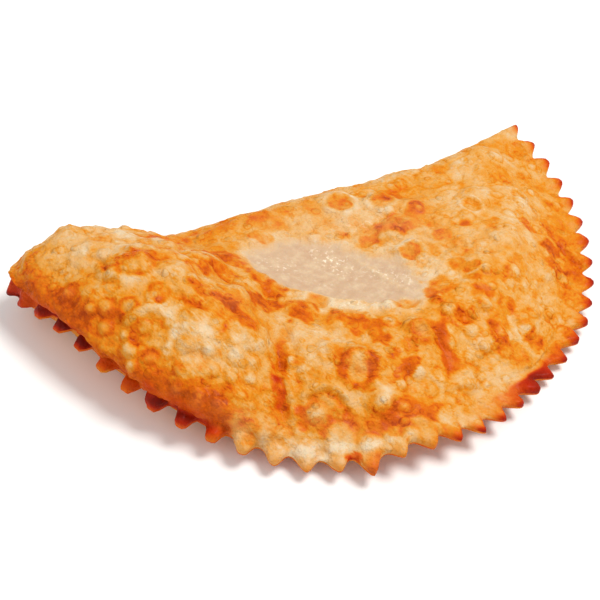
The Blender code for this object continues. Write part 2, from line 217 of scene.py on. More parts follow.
# Fry marks: x, y, half length, half width, turn, browning, redness.  Some are painted shade.
# Painted shade: (-84, -31), (-81, -38), (-86, -22), (-74, -59), (-66, -70) on the near-left wall, (-32,
# -102.2) in a tooth gap.
MARKS = (
    (16, -14, 3.4, 2.5, -24, 0.34, 0.1), (29, -19, 2.4, 2.0, -24, 0.18, 0.0),
    (36, -28, 3.5, 3.6, -24, 0.38, 0.4), (26, -30, 4.4, 4.2, -24, 0.34, 0.1),
    (30, -33, 4.6, 3.4, -24, 0.36, 0.1), (10, -26, 2.8, 1.6, -55, 0.28, 0.0),
    (15, -32, 3.5, 2.0, -50, 0.28, 0.0), (24, -44, 3.4, 3.2, 0, 0.32, 0.1),
    (-14, -17, 4.0, 2.4, -24, 0.26, 0.0), (-25, -41, 4.8, 4.8, -24, 0.38, 0.3),
    (-31, -47, 4.6, 4.4, -24, 0.36, 0.5), (-22.5, -54.5, 4.6, 5.4, -24, 0.40, 0.5),
    (-43, -58, 3.0, 3.0, 0, 0.40, 0.95), (-15, -51, 4.0, 2.6, -24, 0.14, 0.0),
    (-12, -61, 5.6, 3.8, -20, 0.38, 0.3), (-9.5, -66.5, 6.2, 4.0, -24, 0.38, 0.4),
    (-7, -73, 4.0, 2.8, -70, 0.34, 0.6), (8, -63, 5.0, 2.4, -24, 0.18, 0.0),
    (23, -61, 4.4, 4.6, -24, 0.32, 0.2), (18, -63, 2.4, 3.0, -24, 0.40, 0.9),
    (-43, -76.2, 4.4, 2.2, 60, 0.42, 2.4), (-40.6, -85.6, 3.0, 2.0, 60, 0.36, 1.2),
    (-23, -79, 3.8, 1.5, 60, 0.32, 0.2), (-15, -81, 4.8, 1.7, 55, 0.34, 0.3),
    (-19, -76, 3.4, 1.5, -24, 0.24, 0.2), (-20.5, -87, 3.2, 1.5, -24, 0.24, 0.1),
    (11.4, -79.5, 5.0, 1.7, 60, 0.40, 1.2), (9.7, -87, 3.0, 2.8, 0, 0.36, 1.2),
    (5.5, -76.8, 5.4, 4.4, 0, 0.15, 0.0), (-4, -86, 3.4, 1.5, 20, 0.34, 0.8),
    (-8, -87, 3.4, 1.5, 20, 0.30, 0.5), (-8, -81, 2.8, 1.4, 20, 0.28, 0.4),
    (-11, -97, 3.6, 3.6, 0, 0.34, 0.6), (-6, -100, 3.4, 2.8, 0, 0.34, 0.85),
    (-36, -91, 6.0, 3.2, -24, 0.14, 0.0), (-27, -96, 7.0, 3.0, -24, 0.18, 0.0),
    (-19, -99, 7.0, 3.2, -24, 0.18, 0.0), (-37, -68, 6.5, 1.6, 62, 0.28, 0.4),
    (-34, -72, 1.8, 1.5, 0, 0.28, 0.3), (-32, -102.2, 2.4, 1.5, -24, 0.60, 3.6),
    (47, -41, 2.2, 2.0, 0, 0.30, 0.2), (55, -44, 3.0, 2.4, 0, 0.24, 0.0),
    (68, -46, 2.8, 2.8, 0, 0.30, 0.1), (69, -62, 3.8, 3.4, 0, 0.24, 0.2),
    (72.5, -55.5, 4.2, 3.6, 0, 0.36, 0.5), (37, -42, 3.0, 2.8, 0, 0.28, 0.0),
    (33, -56, 2.6, 2.4, 0, 0.32, 0.1), (36, -60, 2.6, 2.2, 0, 0.32, 0.3),
    (33, -69, 4.2, 2.2, -30, 0.26, 0.3), (39, -75, 3.0, 2.6, 0, 0.30, 0.1),
    (35, -80, 2.6, 2.4, 0, 0.28, 0.0), (30.5, -82.7, 3.4, 3.2, -20, 0.24, 0.2),
    (43.5, -87, 3.2, 2.8, -20, 0.30, 0.2), (21.4, -75.8, 4.2, 3.8, 0, 0.06, 0.0),
    (35, -65.5, 5.0, 2.6, -30, 0.14, 0.0), (-62, -39, 3.0, 3.4, 0, 0.28, 0.1),
    (-44, -7, 6.0, 2.6, -10, 0.26, 0.2), (-33, -21, 3.8, 3.0, -20, 0.34, 0.7),
    (-31, -25.5, 7.0, 4.4, -24, 0.28, 0.2), (-46, -49, 2.8, 4.4, 30, 0.40, 0.5),
    (-56, -47, 2.6, 3.0, 30, 0.28, 0.0), (-48, -33, 5.0, 3.0, 20, 0.26, 0.2),
    (-38, -31, 6.0, 2.0, -40, 0.26, 0.3), (-63, -26, 6.0, 4.0, 0, 0.16, 0.0),
    (-78, -36, 5.0, 4.0, 0, 0.10, 0.0), (-84, -31, 5.0, 8.0, 30, 0.17, 0.3),
    (-81, -38, 4.0, 6.0, 30, 0.17, 0.3), (-86, -22, 4.0, 5.0, 0, 0.18, 0.3),
    (78, -50, 2.4, 6.0, -10, 0.18, 0.0), (58, -86, 3.0, 2.6, 0, 0.26, 0.3),
    (-51, -42, 3.4, 2.6, 0, 0.20, 0.0), (-66, -70, 9.0, 4.0, -45, 0.26, 0.55),
    (-74, -59, 6.0, 4.0, -50, 0.24, 0.5),
)
# Broad tone of the crust: x, y, half length, half width, turn, browning.  Some are painted light.
# Painted highlight on the near-left mound at (-60, -61); painted shade down the left wall at (-84, -36)
# and (-70, -68).
TONES = (
    (-62, -8, 26, 14, 0, -0.10), (-60, -61, 14, 8, -20, -0.11), (-53, -50, 6, 4, 0, 0.05),
    (-40, -34, 18, 16, 0, 0.02), (-84, -36, 12, 26, 0, 0.14), (-70, -68, 24, 11, -42, 0.24),
    (14, -20, 30, 14, -15, -0.10), (60, -32, 30, 22, 0, -0.02), (-38, -99, 18, 5, -8, -0.09),
    (4, -80, 26, 16, 0, 0.02), (34, -98, 18, 7, 25, -0.07), (-40, -80, 16, 12, 0, 0.06),
    (70, -68, 14, 16, 0, 0.02), (-20, -103, 16, 5, 0, -0.08), (-27, -92, 17, 4, -24, 0.15),
    (12, -93, 9, 9, 20, 0.04), (84, -50, 10, 26, -8, 0.14), (78, -18, 14, 12, 0, 0.05),
    (-44, -6, 12, 5, -10, 0.14), (-70, -44, 12, 10, 0, 0.04), (-65, -27, 15, 8, -15, -0.12),
    (-14, -24, 8, 5, 0, 0.10), (58, -22, 26, 10, -8, 0.11), (-56, -86, 9, 5, -40, -0.24),
    (-83, -24, 7, 9, 0, 0.15), (-67, -32, 7, 6, 0, -0.10), (-44, -50, 7, 5, 0, 0.12),
    (-53, -62, 6, 5, 0, -0.03), (20, -17, 26, 9, -12, 0.13), (-30, -77, 7, 5, 0, -0.09),
    (-45, -92, 8, 5, -20, -0.20), (-20, -99, 14, 5, 0, 0.03), (-42, -36, 7, 5, 0, 0.06),
    (82, -60, 8, 14, 0, 0.07), (25, -30, 10, 5, -15, 0.09), (22, -63, 6, 5, 0, 0.14),
    (7, -83, 6, 5, 0, 0.12), (-3, -98, 6, 4, 0, 0.07), (-9, -106, 6, 4, 0, 0.07),
    (57, -60, 7, 5, 0, 0.08), (70, -70, 9, 7, 0, 0.16), (-51, -43, 8, 5, 0, 0.09),
    (-44, -55, 9, 5, 0, 0.09), (-75, -42, 6, 5, 0, -0.03), (-23, -86, 7, 5, 0, -0.03),
    (3, -19, 9, 5, 0, 0.05), (18, -99, 10, 5, 20, -0.12), (38, -87, 9, 4, 40, 0.07),
    (48, -23, 8, 6, 0, 0.08), (60, -78, 10, 5, 55, -0.06), (-39, -55, 7, 5, 0, 0.06),
    (-85, -27, 6, 8, 0, 0.08), (22, -34, 14, 6, -20, 0.04), (-94, -12, 7, 10, 0, 0.42),
    (-36, -101, 12, 5, -10, -0.05), (-59, -37, 7, 5, 0, 0.09), (-35, -5, 8, 5, 0, 0.12),
    (-16, -103, 10, 5, 0, 0.09), (-50, -52, 6, 5, 0, 0.06), (-67, -72, 7, 4, -45, 0.15),
    (-79, -60, 6, 5, 0, 0.15), (-86, -32, 5, 6, 0, 0.12), (12, -12, 10, 4, 0, 0.05),
    (-58, -53, 7, 5, 0, 0.12), (26, -27, 9, 6, -20, 0.07), (-63, -60, 5, 4, 0, 0.04),
    (50, -55, 9, 6, 0, 0.07), (72, -72, 8, 8, 0, 0.08),
)
# The pale patch that stayed out of the hot oil: x, y, half length, half width, turn.
PATCH = (-1.3, -40.0, 26.5, 13.2, -42)
# Ridge of cream skin that crosses it.
RIDGE = (10, -46, 10, 1.2, -76)
# Cream rims, clouded skin round the patch and painted highlights: x, y, half length, half width, turn,
# paleness.
# Painted highlights: the bright spot at (-16, -91), and the one at (-60, -61) on the near-left mound.
CREAM = (
    (-7, -57, 6, 3, -24, 1.0), (1, -61, 5, 3, -24, 0.9), (15, -58, 4.5, 3, -20, 0.8),
    (*RIDGE, 0.9),
    (-20, -27, 6, 5, 0, 0.8), (12, -22, 24, 9, -20, 0.40), (30, -40, 12, 9, 0, 0.25),
    (-18, -47, 4, 3, 0, 0.5), (-60, -61, 5, 4, -20, 0.25), (-50, -88, 8, 4, -40, 0.3),
    (-40, -96, 6, 3, -20, 0.2), (-33, -96, 5, 4, 0, 0.3), (-26, -101, 4, 3, 0, 0.3),
    (-43, -94, 3, 3, 0, 0.5), (-58, -81, 4, 3, 0, 0.5), (24, -101, 10, 5, 20, 0.25),
    (-16, -91, 2.4, 1.6, 35, 1.4), (-36, -87, 3.0, 2.8, 0, 0.3), (-44, -48, 6, 4, 0, 0.1),
    (-62, -10, 20, 8, 0, 0.14), (46, -52, 12, 8, 0, 0.15), (-30, -62, 5, 4, 0, 0.20),
    (-19, -81, 2.0, 3.0, 60, 0.3), (5, -77, 1.8, 1.8, 0, 0.3), (-50, -10, 10, 6, 0, 0.12),
)
# White flecks of painted glint on the pale skin: x, y, half length, half width, turn, strength.
FLECKS = (
    (1, -35, 9, 4, -75, 1.0), (-16, -30, 6, 3, -30, 0.8), (13, -50, 9, 3, -55, 0.7),
    (-3, -58, 7, 2, -24, 0.8), (18, -24, 8, 3, -10, 0.3), (-8, -42, 8, 3, -40, 0.3),
)

# Clouded patterns of the crust: size of one patch, detail, roughness.
PATTERNS = (
    (3.0, 4.0, 0.6),    # mottling
    (0.8, 2.0, 0.5),    # grain
    (4.0, 5.0, 0.65),   # deeper islands
    (1.2, 1.0, 0.5),    # painted glints, in specks of half that size
    (0.9, 3.0, 0.5),    # pores
)
# Flat bubbles: width of a cell, size and reach of their wobble, size of their flocks.
BUBBLE_CELL = 4.4
WOBBLE_SIZE = 5.0
WOBBLE_REACH = 3.0
FLOCK_SIZE = 7.0
# Where a flat bubble's ring is, and half its width, as shares of a cell.
RING_AT = 0.34
RING_HALF = 0.06
# Pimples: width of a cell, and the depth of the whole fine relief.
PIMPLE_CELL = 2.2
FINE_RELIEF = 0.6

# Stage, in metres.  Lamps: name, shares to the camera's right, away from it and up, distance, width.
LAMPS = (
    ("key_light", 0.33, 0.06, 0.9, 1.1, 0.5),
    ("fill_light", -0.7, -0.4, 0.7, 1.3, 1.2),
)
LAMP_COLOUR = (1.0, 0.985, 0.96)
# Half the side of the floor.
FLOOR_REACH = 4.0

# Random numbers on a cubic lattice, which every cloud is blended from.
LATTICE_SIDE = 64
LATTICE = np.random.default_rng(1907).random((LATTICE_SIDE,) * 3) * 2 - 1


def in_mm(sizes):
    """All sizes of the dough as plain numbers, its lengths in millimetres."""
    found = {}
    for name, kind in sizes.__annotations__.items():
        value = np.array(getattr(sizes, name), float)
        found[name] = value / MM if kind.keywords["unit"] == "LENGTH" else value
    return SimpleNamespace(**found)


def smooth_through(values, place):
    """Smooth curve through values at even stations (cubic, its slope at each from its neighbours)."""
    values = np.asarray(values, float)
    last = len(values) - 1
    along = np.clip(place, 0.0, 1.0) * last
    index = np.minimum(along.astype(int), last - 1)
    part = along - index
    padded = np.concatenate([[2 * values[0] - values[1]], values, [2 * values[-1] - values[-2]]])
    before, start, end, after = (padded[index + k] for k in range(4))
    bend = 2 * before - 5 * start + 4 * end - after + part * (3 * (start - end) + after - before)
    return start + 0.5 * part * (end - before + part * bend)


def ease(value):
    """Soft step: 3t squared less 2t cubed, held between 0 and 1."""
    value = np.clip(value, 0.0, 1.0)
    return value * value * (3 - 2 * value)


def rise(distance, width):
    """Quarter ellipse: the square root of 1 less (1 - t) squared, with t the share of the width."""
    part = np.clip(distance / width, 0.0, 1.0)
    return np.sqrt(np.clip(1 - (1 - part) ** 2, 0.0, 1.0))


def hump(value, middle, half_width, power=2):
    """Soft hump: e to the minus chosen power of the distance as a share of the half width."""
    return np.exp(-((value - middle) / half_width) ** power)


def beyond(place, change):
    """Soft step up along the seam, from the place where a change starts."""
    start, length = change
    return ease((place - start) / length)


def until(place, change):
    """Soft step down along the seam, to the place where a change ends."""
    end, length = change
    return ease((end - place) / length)


def turned(x, y, shape):
    """Distances along and across a turned oval, as shares of its half length and half width."""
    centre_x, centre_y, length, width, turn = shape[:5]
    angle = np.radians(turn)
    along = (x - centre_x) * np.cos(angle) + (y - centre_y) * np.sin(angle)
    across = (y - centre_y) * np.cos(angle) - (x - centre_x) * np.sin(angle)
    return along / length, across / width


def bell(x, y, shape):
    """Soft oval bell: e to the minus squared share of the half sizes."""
    along, across = turned(x, y, shape)
    return np.exp(-along ** 2 - across ** 2)


def add_bells(field, x, y, shapes):
    """The field and the bell of each shape, times the shape's last number, added to it."""
    for shape in shapes:
        field = field + shape[5] * bell(x, y, shape)
    return field


def highest_bell(x, y, shapes):
    """Highest of the shapes' bells at each point, each times its shape's last number."""
    field = np.zeros_like(x)
    for shape in shapes:
        field = np.maximum(field, shape[5] * bell(x, y, shape))
    return field


def line_distance(x, y, start, end):
    """Distance in plan from a straight line between two points, and the place along it."""
    run_x = end[0] - start[0]
    run_y = end[1] - start[1]
    place = ((x - start[0]) * run_x + (y - start[1]) * run_y) / (run_x ** 2 + run_y ** 2)
    place = np.clip(place, 0.0, 1.0)
    return np.hypot(x - start[0] - place * run_x, y - start[1] - place * run_y), place


def cloud(points, size, shift=0.0):
    """Smooth random field from -1 to 1: a lattice of random numbers, one each size mm, blended.

    The shift moves the points along the lattice, so that two clouds of one size still differ.
    """
    at = np.asarray(points) / size + shift
    cell = np.floor(at).astype(int)
    part = at - cell
    part = part * part * (3 - 2 * part)
    total = np.zeros(at.shape[:-1])
    for corner in range(8):
        step = np.array([corner & 1, corner >> 1 & 1, corner >> 2 & 1])
        index = (cell + step) % LATTICE_SIDE
        weight = np.where(step, part, 1 - part).prod(-1)
        total += weight * LATTICE[index[..., 0], index[..., 1], index[..., 2]]
    return total


def thin_lines(points, size, shift, thickness):
    """Curly lines, 1 where a cloud passes through zero and 0 away from there."""
    return hump(cloud(points, size, shift), 0.0, thickness)


def column_lengths(grid):
    """Length along each column of a grid, from its first point."""
    run = np.linalg.norm(np.diff(grid, axis=1), axis=-1)
    return np.concatenate([np.zeros((len(grid), 1)), np.cumsum(run, axis=1)], 1)


def from_ends(place):
    """Distance along the seam from the nearer of its two ends."""
    return np.minimum(place, 1 - place) * SEAM_LENGTH


def tip_closing(place):
    """Share of its thickness that the dough has: a quarter circle over the first millimetres."""
    return 0.25 + 0.75 * rise(place * SEAM_LENGTH, TIP_ROUND)[:, None]


def seam_path(size, place):
    """Line of the tooth tips, a stretched half circle with its own reach and lift at even stations.

    Gives its points at even shares of its length, the outward direction in plan, and the length.
    """
    even = np.linspace(0.0, 1.0, PATH_POINTS)
    angle = np.pi * even
    reach = size.half_length * smooth_through(size.rim_reach, even)
    line = np.stack([-reach * np.cos(angle), -size.depth_ratio * reach * np.sin(angle),
                     smooth_through(size.rim_lift, even)], -1)
    run = np.concatenate([[0.0], np.cumsum(np.linalg.norm(np.diff(line, axis=0), axis=1))])
    at = np.interp(place * run[-1], run, even)
    points = np.stack([np.interp(at, even, line[:, k]) for k in range(3)], -1)
    slope = np.gradient(line, axis=0)
    outward = np.stack([np.interp(at, even, slope[:, 1]), -np.interp(at, even, slope[:, 0])], -1)
    outward /= np.linalg.norm(outward, axis=1)[:, None]
    return points, outward, run[-1]


def lines_of_form(size, place):
    """The lines that carry the form, by their place along the seam.

    These are the tooth tips, the root of the seam where the filling starts, and the folded back
    edge.  near_first is 1 at the hanging tip and falls away from it.
    """
    tips, outward, length = seam_path(size, place)
    near_first = hump(place * length, 0.0, TIP_REACH)
    root = tips.copy()
    margin = smooth_through(size.tooth_depth + size.flange_width, place)
    root[:, :2] -= outward * (margin * (1 - 0.7 * near_first))[:, None]
    root[:, 2] += size.tip_droop * near_first
    first = root[0] + np.array(FOLD_START)
    last = root[-1] + np.array(FOLD_END)
    fold = first + (last - first) * place[:, None]
    fold[:, 1] += smooth_through(size.fold_bow, place)
    fold[:, 2] = smooth_through(size.fold_lift, place)
    return SimpleNamespace(tips=tips, root=root, fold=fold, outward=outward, near_first=near_first)


def crown_height(size, x, y, place, from_fold):
    """Height of the top: a level crown with lobes and a valley, blended to the back edge's height."""
    height = add_bells(np.full_like(x, size.crown), x, y, LOBES)
    start, end, half_width, drop = VALLEY
    distance, along = line_distance(x, y, start, end)
    height = height + drop * hump(distance, 0.0, half_width) * (0.4 + 0.6 * along)
    inside = ease(from_fold / CROWN_RUN)
    height = smooth_through(size.back_top, place)[:, None] * (1 - inside) + height * inside
    step_start, step_length, step_drop = TIP_STEP
    return height - step_drop * ease((step_start - x) / step_length)


def body_grid(size, place, rows):
    """Top and belly of the filled part, as grids from the fold to the root of the seam.

    Each point is on a straight line in plan from fold to root.  The top climbs to the crown by a
    quarter ellipse from each end, the belly sinks to the table the same way.
    """
    form = lines_of_form(size, place)
    even = np.linspace(0.0, 1.0, rows + 1)
    share = 0.45 * even + 0.55 * (0.5 - 0.5 * np.cos(np.pi * even))
    plan = form.fold[:, None, :] + (form.root - form.fold)[:, None, :] * share[None, :, None]
    x = plan[..., 0]
    y = plan[..., 1]
    middle = plan[..., 2]
    outward = form.outward[:, None, :]
    from_fold = form.fold[:, None, 1] - y
    from_root = ((form.root[:, None, :2] - plan[..., :2]) * outward).sum(-1)
    along_column = np.linalg.norm(plan[..., :2] - form.fold[:, None, :2], axis=-1)
    closing = tip_closing(place)
    thick = size.dough_half + size.tip_swell * form.near_first[:, None]
    dough = thick * rise(along_column, FOLD_ROUND) * closing
    fold_rise = FOLD_RISE + MOUND_RISE * hump(place, *MOUND_FOLD)
    seam_rise = smooth_through(size.seam_rise, place)[:, None]
    soft = np.clip(smooth_through(size.seam_softness, place), 0.0, 1.0)[:, None]
    steep = rise(from_root, seam_rise)
    climb = (1 - soft) * steep + soft * ease(from_root / (1.15 * seam_rise))
    filled = rise(from_fold, fold_rise[:, None]) * climb * closing
    crown = crown_height(size, x, y, place, from_fold)
    top_z = middle + dough + np.maximum(crown - middle - dough, 0.0) * filled
    resting = rise(from_fold, BELLY_FROM_FOLD) * rise(from_root, BELLY_FROM_ROOT)
    belly_z = (middle - dough) * (1 - resting)
    lean = sum(amount * hump(place, where, spread) for where, spread, amount in LEANS)
    lean = lean * rise(place * SEAM_LENGTH, LEAN_START)
    push = lean[:, None] * np.sin(np.pi * steep ** 1.1) * rise(from_fold, LEAN_FROM_FOLD)
    top = np.stack([x + outward[..., 0] * push, y + outward[..., 1] * push, top_z], -1)
    return top, np.stack([x, y, belly_z], -1)


def tooth_shape(size, place):
    """Reach of the cut edge, 0 in a notch and 1 at a tip: a raised cosine to a power.

    The wave is skewed so that each tooth has a long side and a steep one.  Near the first tip the
    wave goes through a soft step instead, which makes round lobes with flat notches.
    """
    phase = place * TOOTH_GAPS - smooth_through(size.tooth_shift, place)
    skew = smooth_through(size.tooth_skew, place)
    wave = 0.5 + 0.5 * np.cos(2 * np.pi * (phase - skew * (np.cos(2 * np.pi * phase) - 1)))
    lobed = until(place, LOBED_UNTIL)
    lobe = ease((wave ** 1.4 - 0.12) / 0.72)
    return wave ** smooth_through(size.tooth_power, place) * (1 - lobed) + lobe * lobed, phase


def flange_grid(size, place, side):
    """Pressed seam from its root to the cut edge, on the upper (+1) or lower (-1) side.

    The dough is a rounded slab: its half thickness falls as a quarter circle over the cut edge,
    and each tooth is a small pillow with a groove between it and the next.
    """
    form = lines_of_form(size, place)
    shape, phase = tooth_shape(size, place)
    torn = hump(place * TOOTH_GAPS, *TORN_TOOTH)
    uneven = 0.7 * cloud(np.stack([phase * 9.4, phase * 0, phase * 0], -1), 9.0, 5.3)
    depth = smooth_through(size.tooth_depth, place) * (1 - 0.55 * form.near_first)
    reach = depth * shape + TORN_REACH * torn + uneven * shape
    edge = form.tips.copy()
    edge[:, :2] += form.outward * (reach - depth)[:, None]
    edge[:, 2] -= TORN_SAG * torn
    share = np.sin(0.5 * np.pi * np.linspace(0.0, 1.0, FLANGE_ROWS + 1)) ** 1.15
    run = np.linalg.norm(edge - form.root, axis=1)[:, None]
    from_edge = run * (1 - share)
    grid = form.root[:, None, :] + (edge - form.root)[:, None, :] * share[None, :, None]
    thin = size.edge_half * 0.25
    half = thin + (size.dough_half + 0.1 - thin) * rise(from_edge, EDGE_ROUND)
    half = half + size.tip_swell * form.near_first[:, None] * (1 - share) * rise(from_edge, 3.0)
    swell = WALL_SWELL * hump(place, *NEAR_WALL, 4) * (side > 0)
    half = half + swell[:, None] * (1 - share) ** 1.5 * rise(from_edge, 1.5)
    half = half * tip_closing(place)
    plump = 0.35 + 0.7 * hump(place, *PLUMP_TEETH, 4)
    pillow = plump[:, None] * np.cos(2 * np.pi * phase)[:, None] * ease(share * 1.3)
    grid[..., 2] += side * half + pillow * rise(from_edge, 2.0) * (1.0 if side > 0 else 0.3)
    return grid, phase


def eased_seam(grid, place):
    """Fillet along the root of the seam: neighbours in a column averaged again and again there."""
    arc = column_lengths(grid)
    away = np.abs(arc - arc[:, TOP_ROWS:TOP_ROWS + 1])
    weight = hump(away, 0.0, FILLET, 4) * ease(from_ends(place) / 5.0)[:, None]
    weight = 0.5 * weight[:, 1:-1, None]
    for _ in range(FILLET_ROUNDS):
        middle = 0.5 * (grid[:, :-2] + grid[:, 2:])
        grid[:, 1:-1] += weight * (middle - grid[:, 1:-1])
    return grid


def point_normals(grid):
    """Unit normals of a grid of points, from the cross product of its two slopes, facing up."""
    normal = np.cross(np.gradient(grid, axis=1), np.gradient(grid, axis=0))
    normal *= np.sign(normal[..., 2].mean())
    return normal / np.maximum(np.linalg.norm(normal, axis=-1, keepdims=True), 1e-9)


def pushed(grid, normal, height):
    """The grid with each point moved along its normal by its height."""
    return grid + normal * height[..., None]


def window(grid, row, column, reach):
    """Slices of the grid that hold every point within reach of the named one."""
    across = np.linalg.norm(grid[:, 1:] - grid[:, :-1], axis=-1)
    along = np.linalg.norm(grid[1:] - grid[:-1], axis=-1)
    wide = int(reach / max(along[min(row, len(along) - 1), column], LEAST_STEP)) + 2
    high = int(reach / max(across[row, min(column, across.shape[1] - 1)], LEAST_STEP)) + 2
    rows = slice(max(row - wide, 0), row + wide + 1)
    columns = slice(max(column - high, 0), column + high + 1)
    return rows, columns


def nearest(grid, x, y):
    """Grid place of the point nearest in plan to x, y."""
    away = np.hypot(grid[..., 0] - x, grid[..., 1] - y)
    return np.unravel_index(np.argmin(away), away.shape)


def scatter_spots(grid, weight, count, random):
    """Random grid places, as many to each square millimetre as weight asks for."""
    along = np.linalg.norm(np.gradient(grid, axis=0), axis=-1)
    across = np.linalg.norm(np.gradient(grid, axis=1), axis=-1)
    chance = (along * across * weight).ravel()
    chosen = random.choice(chance.size, size=count, p=chance / chance.sum())
    return np.unravel_index(chosen, weight.shape)


def stamp_blisters(grid, places, radii, heights, sharpness):
    """Highest of many domes: height times (1 less the squared share of the radius) to a power.

    Also gives a mask of the thin ring at each foot and one of each top.
    """
    lift = np.zeros(grid.shape[:2])
    foot = np.zeros_like(lift)
    crest = np.zeros_like(lift)
    uneven = 1 + 0.22 * cloud(grid, 2.8, 9.9)
    for row, column, radius, height in zip(*places, radii, heights):
        near = window(grid, row, column, radius * 1.5)
        distance = np.linalg.norm(grid[near] - grid[row, column], axis=-1) / radius * uneven[near]
        dome = height * np.clip(1 - distance ** 2, 0.0, 1.0) ** sharpness
        lift[near] = np.maximum(lift[near], dome)
        foot[near] = np.maximum(foot[near], hump(distance, 1.05, 0.17))
        crest[near] = np.maximum(crest[near], np.clip(1 - distance * 1.2, 0, 1))
    return lift, foot, crest


def stamp_list(grid, blisters, wider, higher, sharpness):
    """Domes from a table of x, y, radius and height."""
    table = np.array(blisters, float)
    places = np.array([nearest(grid, x, y) for x, y in table[:, :2]]).T
    return stamp_blisters(grid, places, table[:, 2] * wider, table[:, 3] * higher, sharpness)


def stamp_random(grid, weight, kind):
    """Domes scattered by weight, most of them near the least of their kind's radii."""
    count, least, most, flattest, steepest, seed = kind
    random = np.random.default_rng(seed)
    places = scatter_spots(grid, weight, count, random)
    radii = least + (most - least) * random.random(count) ** 1.6
    heights = radii * random.uniform(flattest, steepest, count)
    return stamp_blisters(grid, places, radii, heights, 0.8)


def stamp_discs(grid, weight):
    """Masks of flat round spots scattered by weight: their middles, and the rims round them."""
    count, least, spread, seed = DISCS
    random = np.random.default_rng(seed)
    places = scatter_spots(grid, weight, count, random)
    radii = least + spread * random.random(count) ** 1.5
    return stamp_blisters(grid, places, radii, np.ones(count), 0.3)[:2]


def patch_oval(x, y, points):
    """Share of the pale patch's own ragged oval, 1 on its edge, and how pale it is inside.

    The oval is a superellipse to the power 2.6.  Its edge is softer on the back side, and the ridge
    that crosses it is less pale.
    """
    along, across = turned(x, y, PATCH)
    oval = (np.abs(along) ** 2.6 + np.abs(across) ** 2.6) ** (1 / 2.6)
    oval = oval + 0.14 * cloud(points, 7.0, 3.1) + 0.09 * cloud(points, 2.6, 8.2)
    whole = ease((1.08 - oval) / (0.14 + 0.34 * ease(across + 0.3)) + 0.1)
    return oval, whole * (1 - 0.6 * bell(x, y, RIDGE))


def bare_skin(size, place):
    """Upper side of the dough before its relief, and what the steps that dress it share.

    Distances are lengths along the columns.  clear is 0 at every border, left and front grow
    towards those sides, and crevice is 1 deep under the near wall.  The steps add relief to lift
    and tone to brown and red.
    """
    top, _ = body_grid(size, place, TOP_ROWS)
    flange, phase = flange_grid(size, place, 1.0)
    points = eased_seam(np.concatenate([top[:, :-1], flange], 1), place)
    x = points[..., 0]
    y = points[..., 1]
    from_fold = column_lengths(points)
    from_edge = from_fold[:, -1:] - from_fold
    past_root = from_fold - from_fold[:, TOP_ROWS:TOP_ROWS + 1]
    from_first = np.linalg.norm(points - points[:1], axis=-1)
    from_last = np.linalg.norm(points - points[-1:], axis=-1)
    clear = ease(from_fold / CALM_BORDER) * ease(from_edge / CALM_EDGE)
    clear = clear * ease(from_first / CALM_BORDER) * ease(from_last / CALM_BORDER)
    oval, patch = patch_oval(x, y, points)
    return SimpleNamespace(
        points=points, x=x, y=y, place=place[:, None], phase=phase[:, None], from_fold=from_fold,
        from_edge=from_edge, past_root=past_root, clear=clear, oval=oval, patch=patch,
        left=ease((LEFT_FROM - x) / LEFT_RUN), front=hump(y, *FRONT),
        crevice=hump(past_root, 0, 3.5) * hump(place, *WALL_CREVICE, 4)[:, None],
        lift=np.zeros_like(x), brown=np.full_like(x, CRUST_BROWN), red=np.zeros_like(x))


def wrinkles(skin):
    """Height of the skin's wrinkles: clouds of three sizes, and two that are folded into ridges."""
    points = skin.points
    folded = 1 - 2 * np.abs(cloud(points, 7.0, 1.7))
    curled = 1 - 2 * np.abs(cloud(points, 4.0, 6.2))
    height = 0.6 * cloud(points, 15.0) + 0.45 * cloud(points, 6.5, 9.4) + 0.30 * folded
    height += 0.24 * cloud(points, 3.2, 2.4) + 0.20 * curled * (0.5 + skin.left)
    return height * (skin.clear * (1 - 0.88 * skin.patch) * (1 - 0.5 * skin.crevice))


def raise_blisters(skin):
    """Domes of every size and sunk discs, with dark feet and rims, and lighter tops that are painted
    highlight.

    Gives the mask of the tops of the bubbles that are placed one by one.
    """
    points = skin.points
    quiet = (1 - 0.97 * skin.patch) * skin.clear * (1 - 0.7 * skin.crevice)
    crowd = 0.22 + 0.5 * skin.left + 0.40 * skin.front + 0.6 * np.clip(cloud(points, 11.0, 2.2), 0, 1)
    crowd = quiet * crowd * (1 - 0.75 * bell(skin.x, skin.y, SMOOTH_HUMP))
    large, large_foot, large_crest = stamp_list(points, BLISTERS, 1.1, 0.9, 1.0)
    named, named_foot, named_crest = stamp_list(points, BUBBLES, 1.1, 1.0, 0.75)
    middling, middling_foot, middling_crest = stamp_random(points, crowd, MIDDLING)
    fine, fine_foot, fine_crest = stamp_random(points, crowd + 0.1 * quiet, FINE)
    here = 0.5 + 0.5 * np.clip(cloud(points, 12.0, 6.8), 0, 1)
    disc, disc_rim = stamp_discs(points, quiet * here)
    skin.lift += large + np.maximum(named, np.maximum(middling, fine)) + 0.22 * disc_rim - 0.25 * disc
    skin.brown += 0.17 * disc * (0.8 + 0.5 * cloud(points, 1.9, 0.7)) + 0.10 * disc_rim
    feet = 0.19 * np.maximum(named_foot, middling_foot) + 0.12 * fine_foot + 0.08 * large_foot
    # Lighter tops: painted highlight on the crests.
    tops = 0.11 * np.maximum(named_crest, middling_crest) + 0.10 * named_crest
    skin.brown += feet * (1 - skin.patch) - (tops + 0.06 * fine_crest + 0.06 * large_crest)
    return named_crest


def crack_skin(skin):
    """Fine curly cracks, sunk and browner, with more of them on the left."""
    points = skin.points
    crack = thin_lines(points, 4.5, 3.7, 0.07) * np.clip(0.5 + cloud(points, 9.0, 1.3), 0, 1)
    here = np.clip(cloud(points, 8.0, 3.4), 0, 1)
    crack += 0.8 * skin.left * thin_lines(points, 3.4, 8.8, 0.08) * here
    skin.lift -= 0.28 * crack
    skin.brown += 0.16 * crack * (1 - 0.88 * skin.patch)


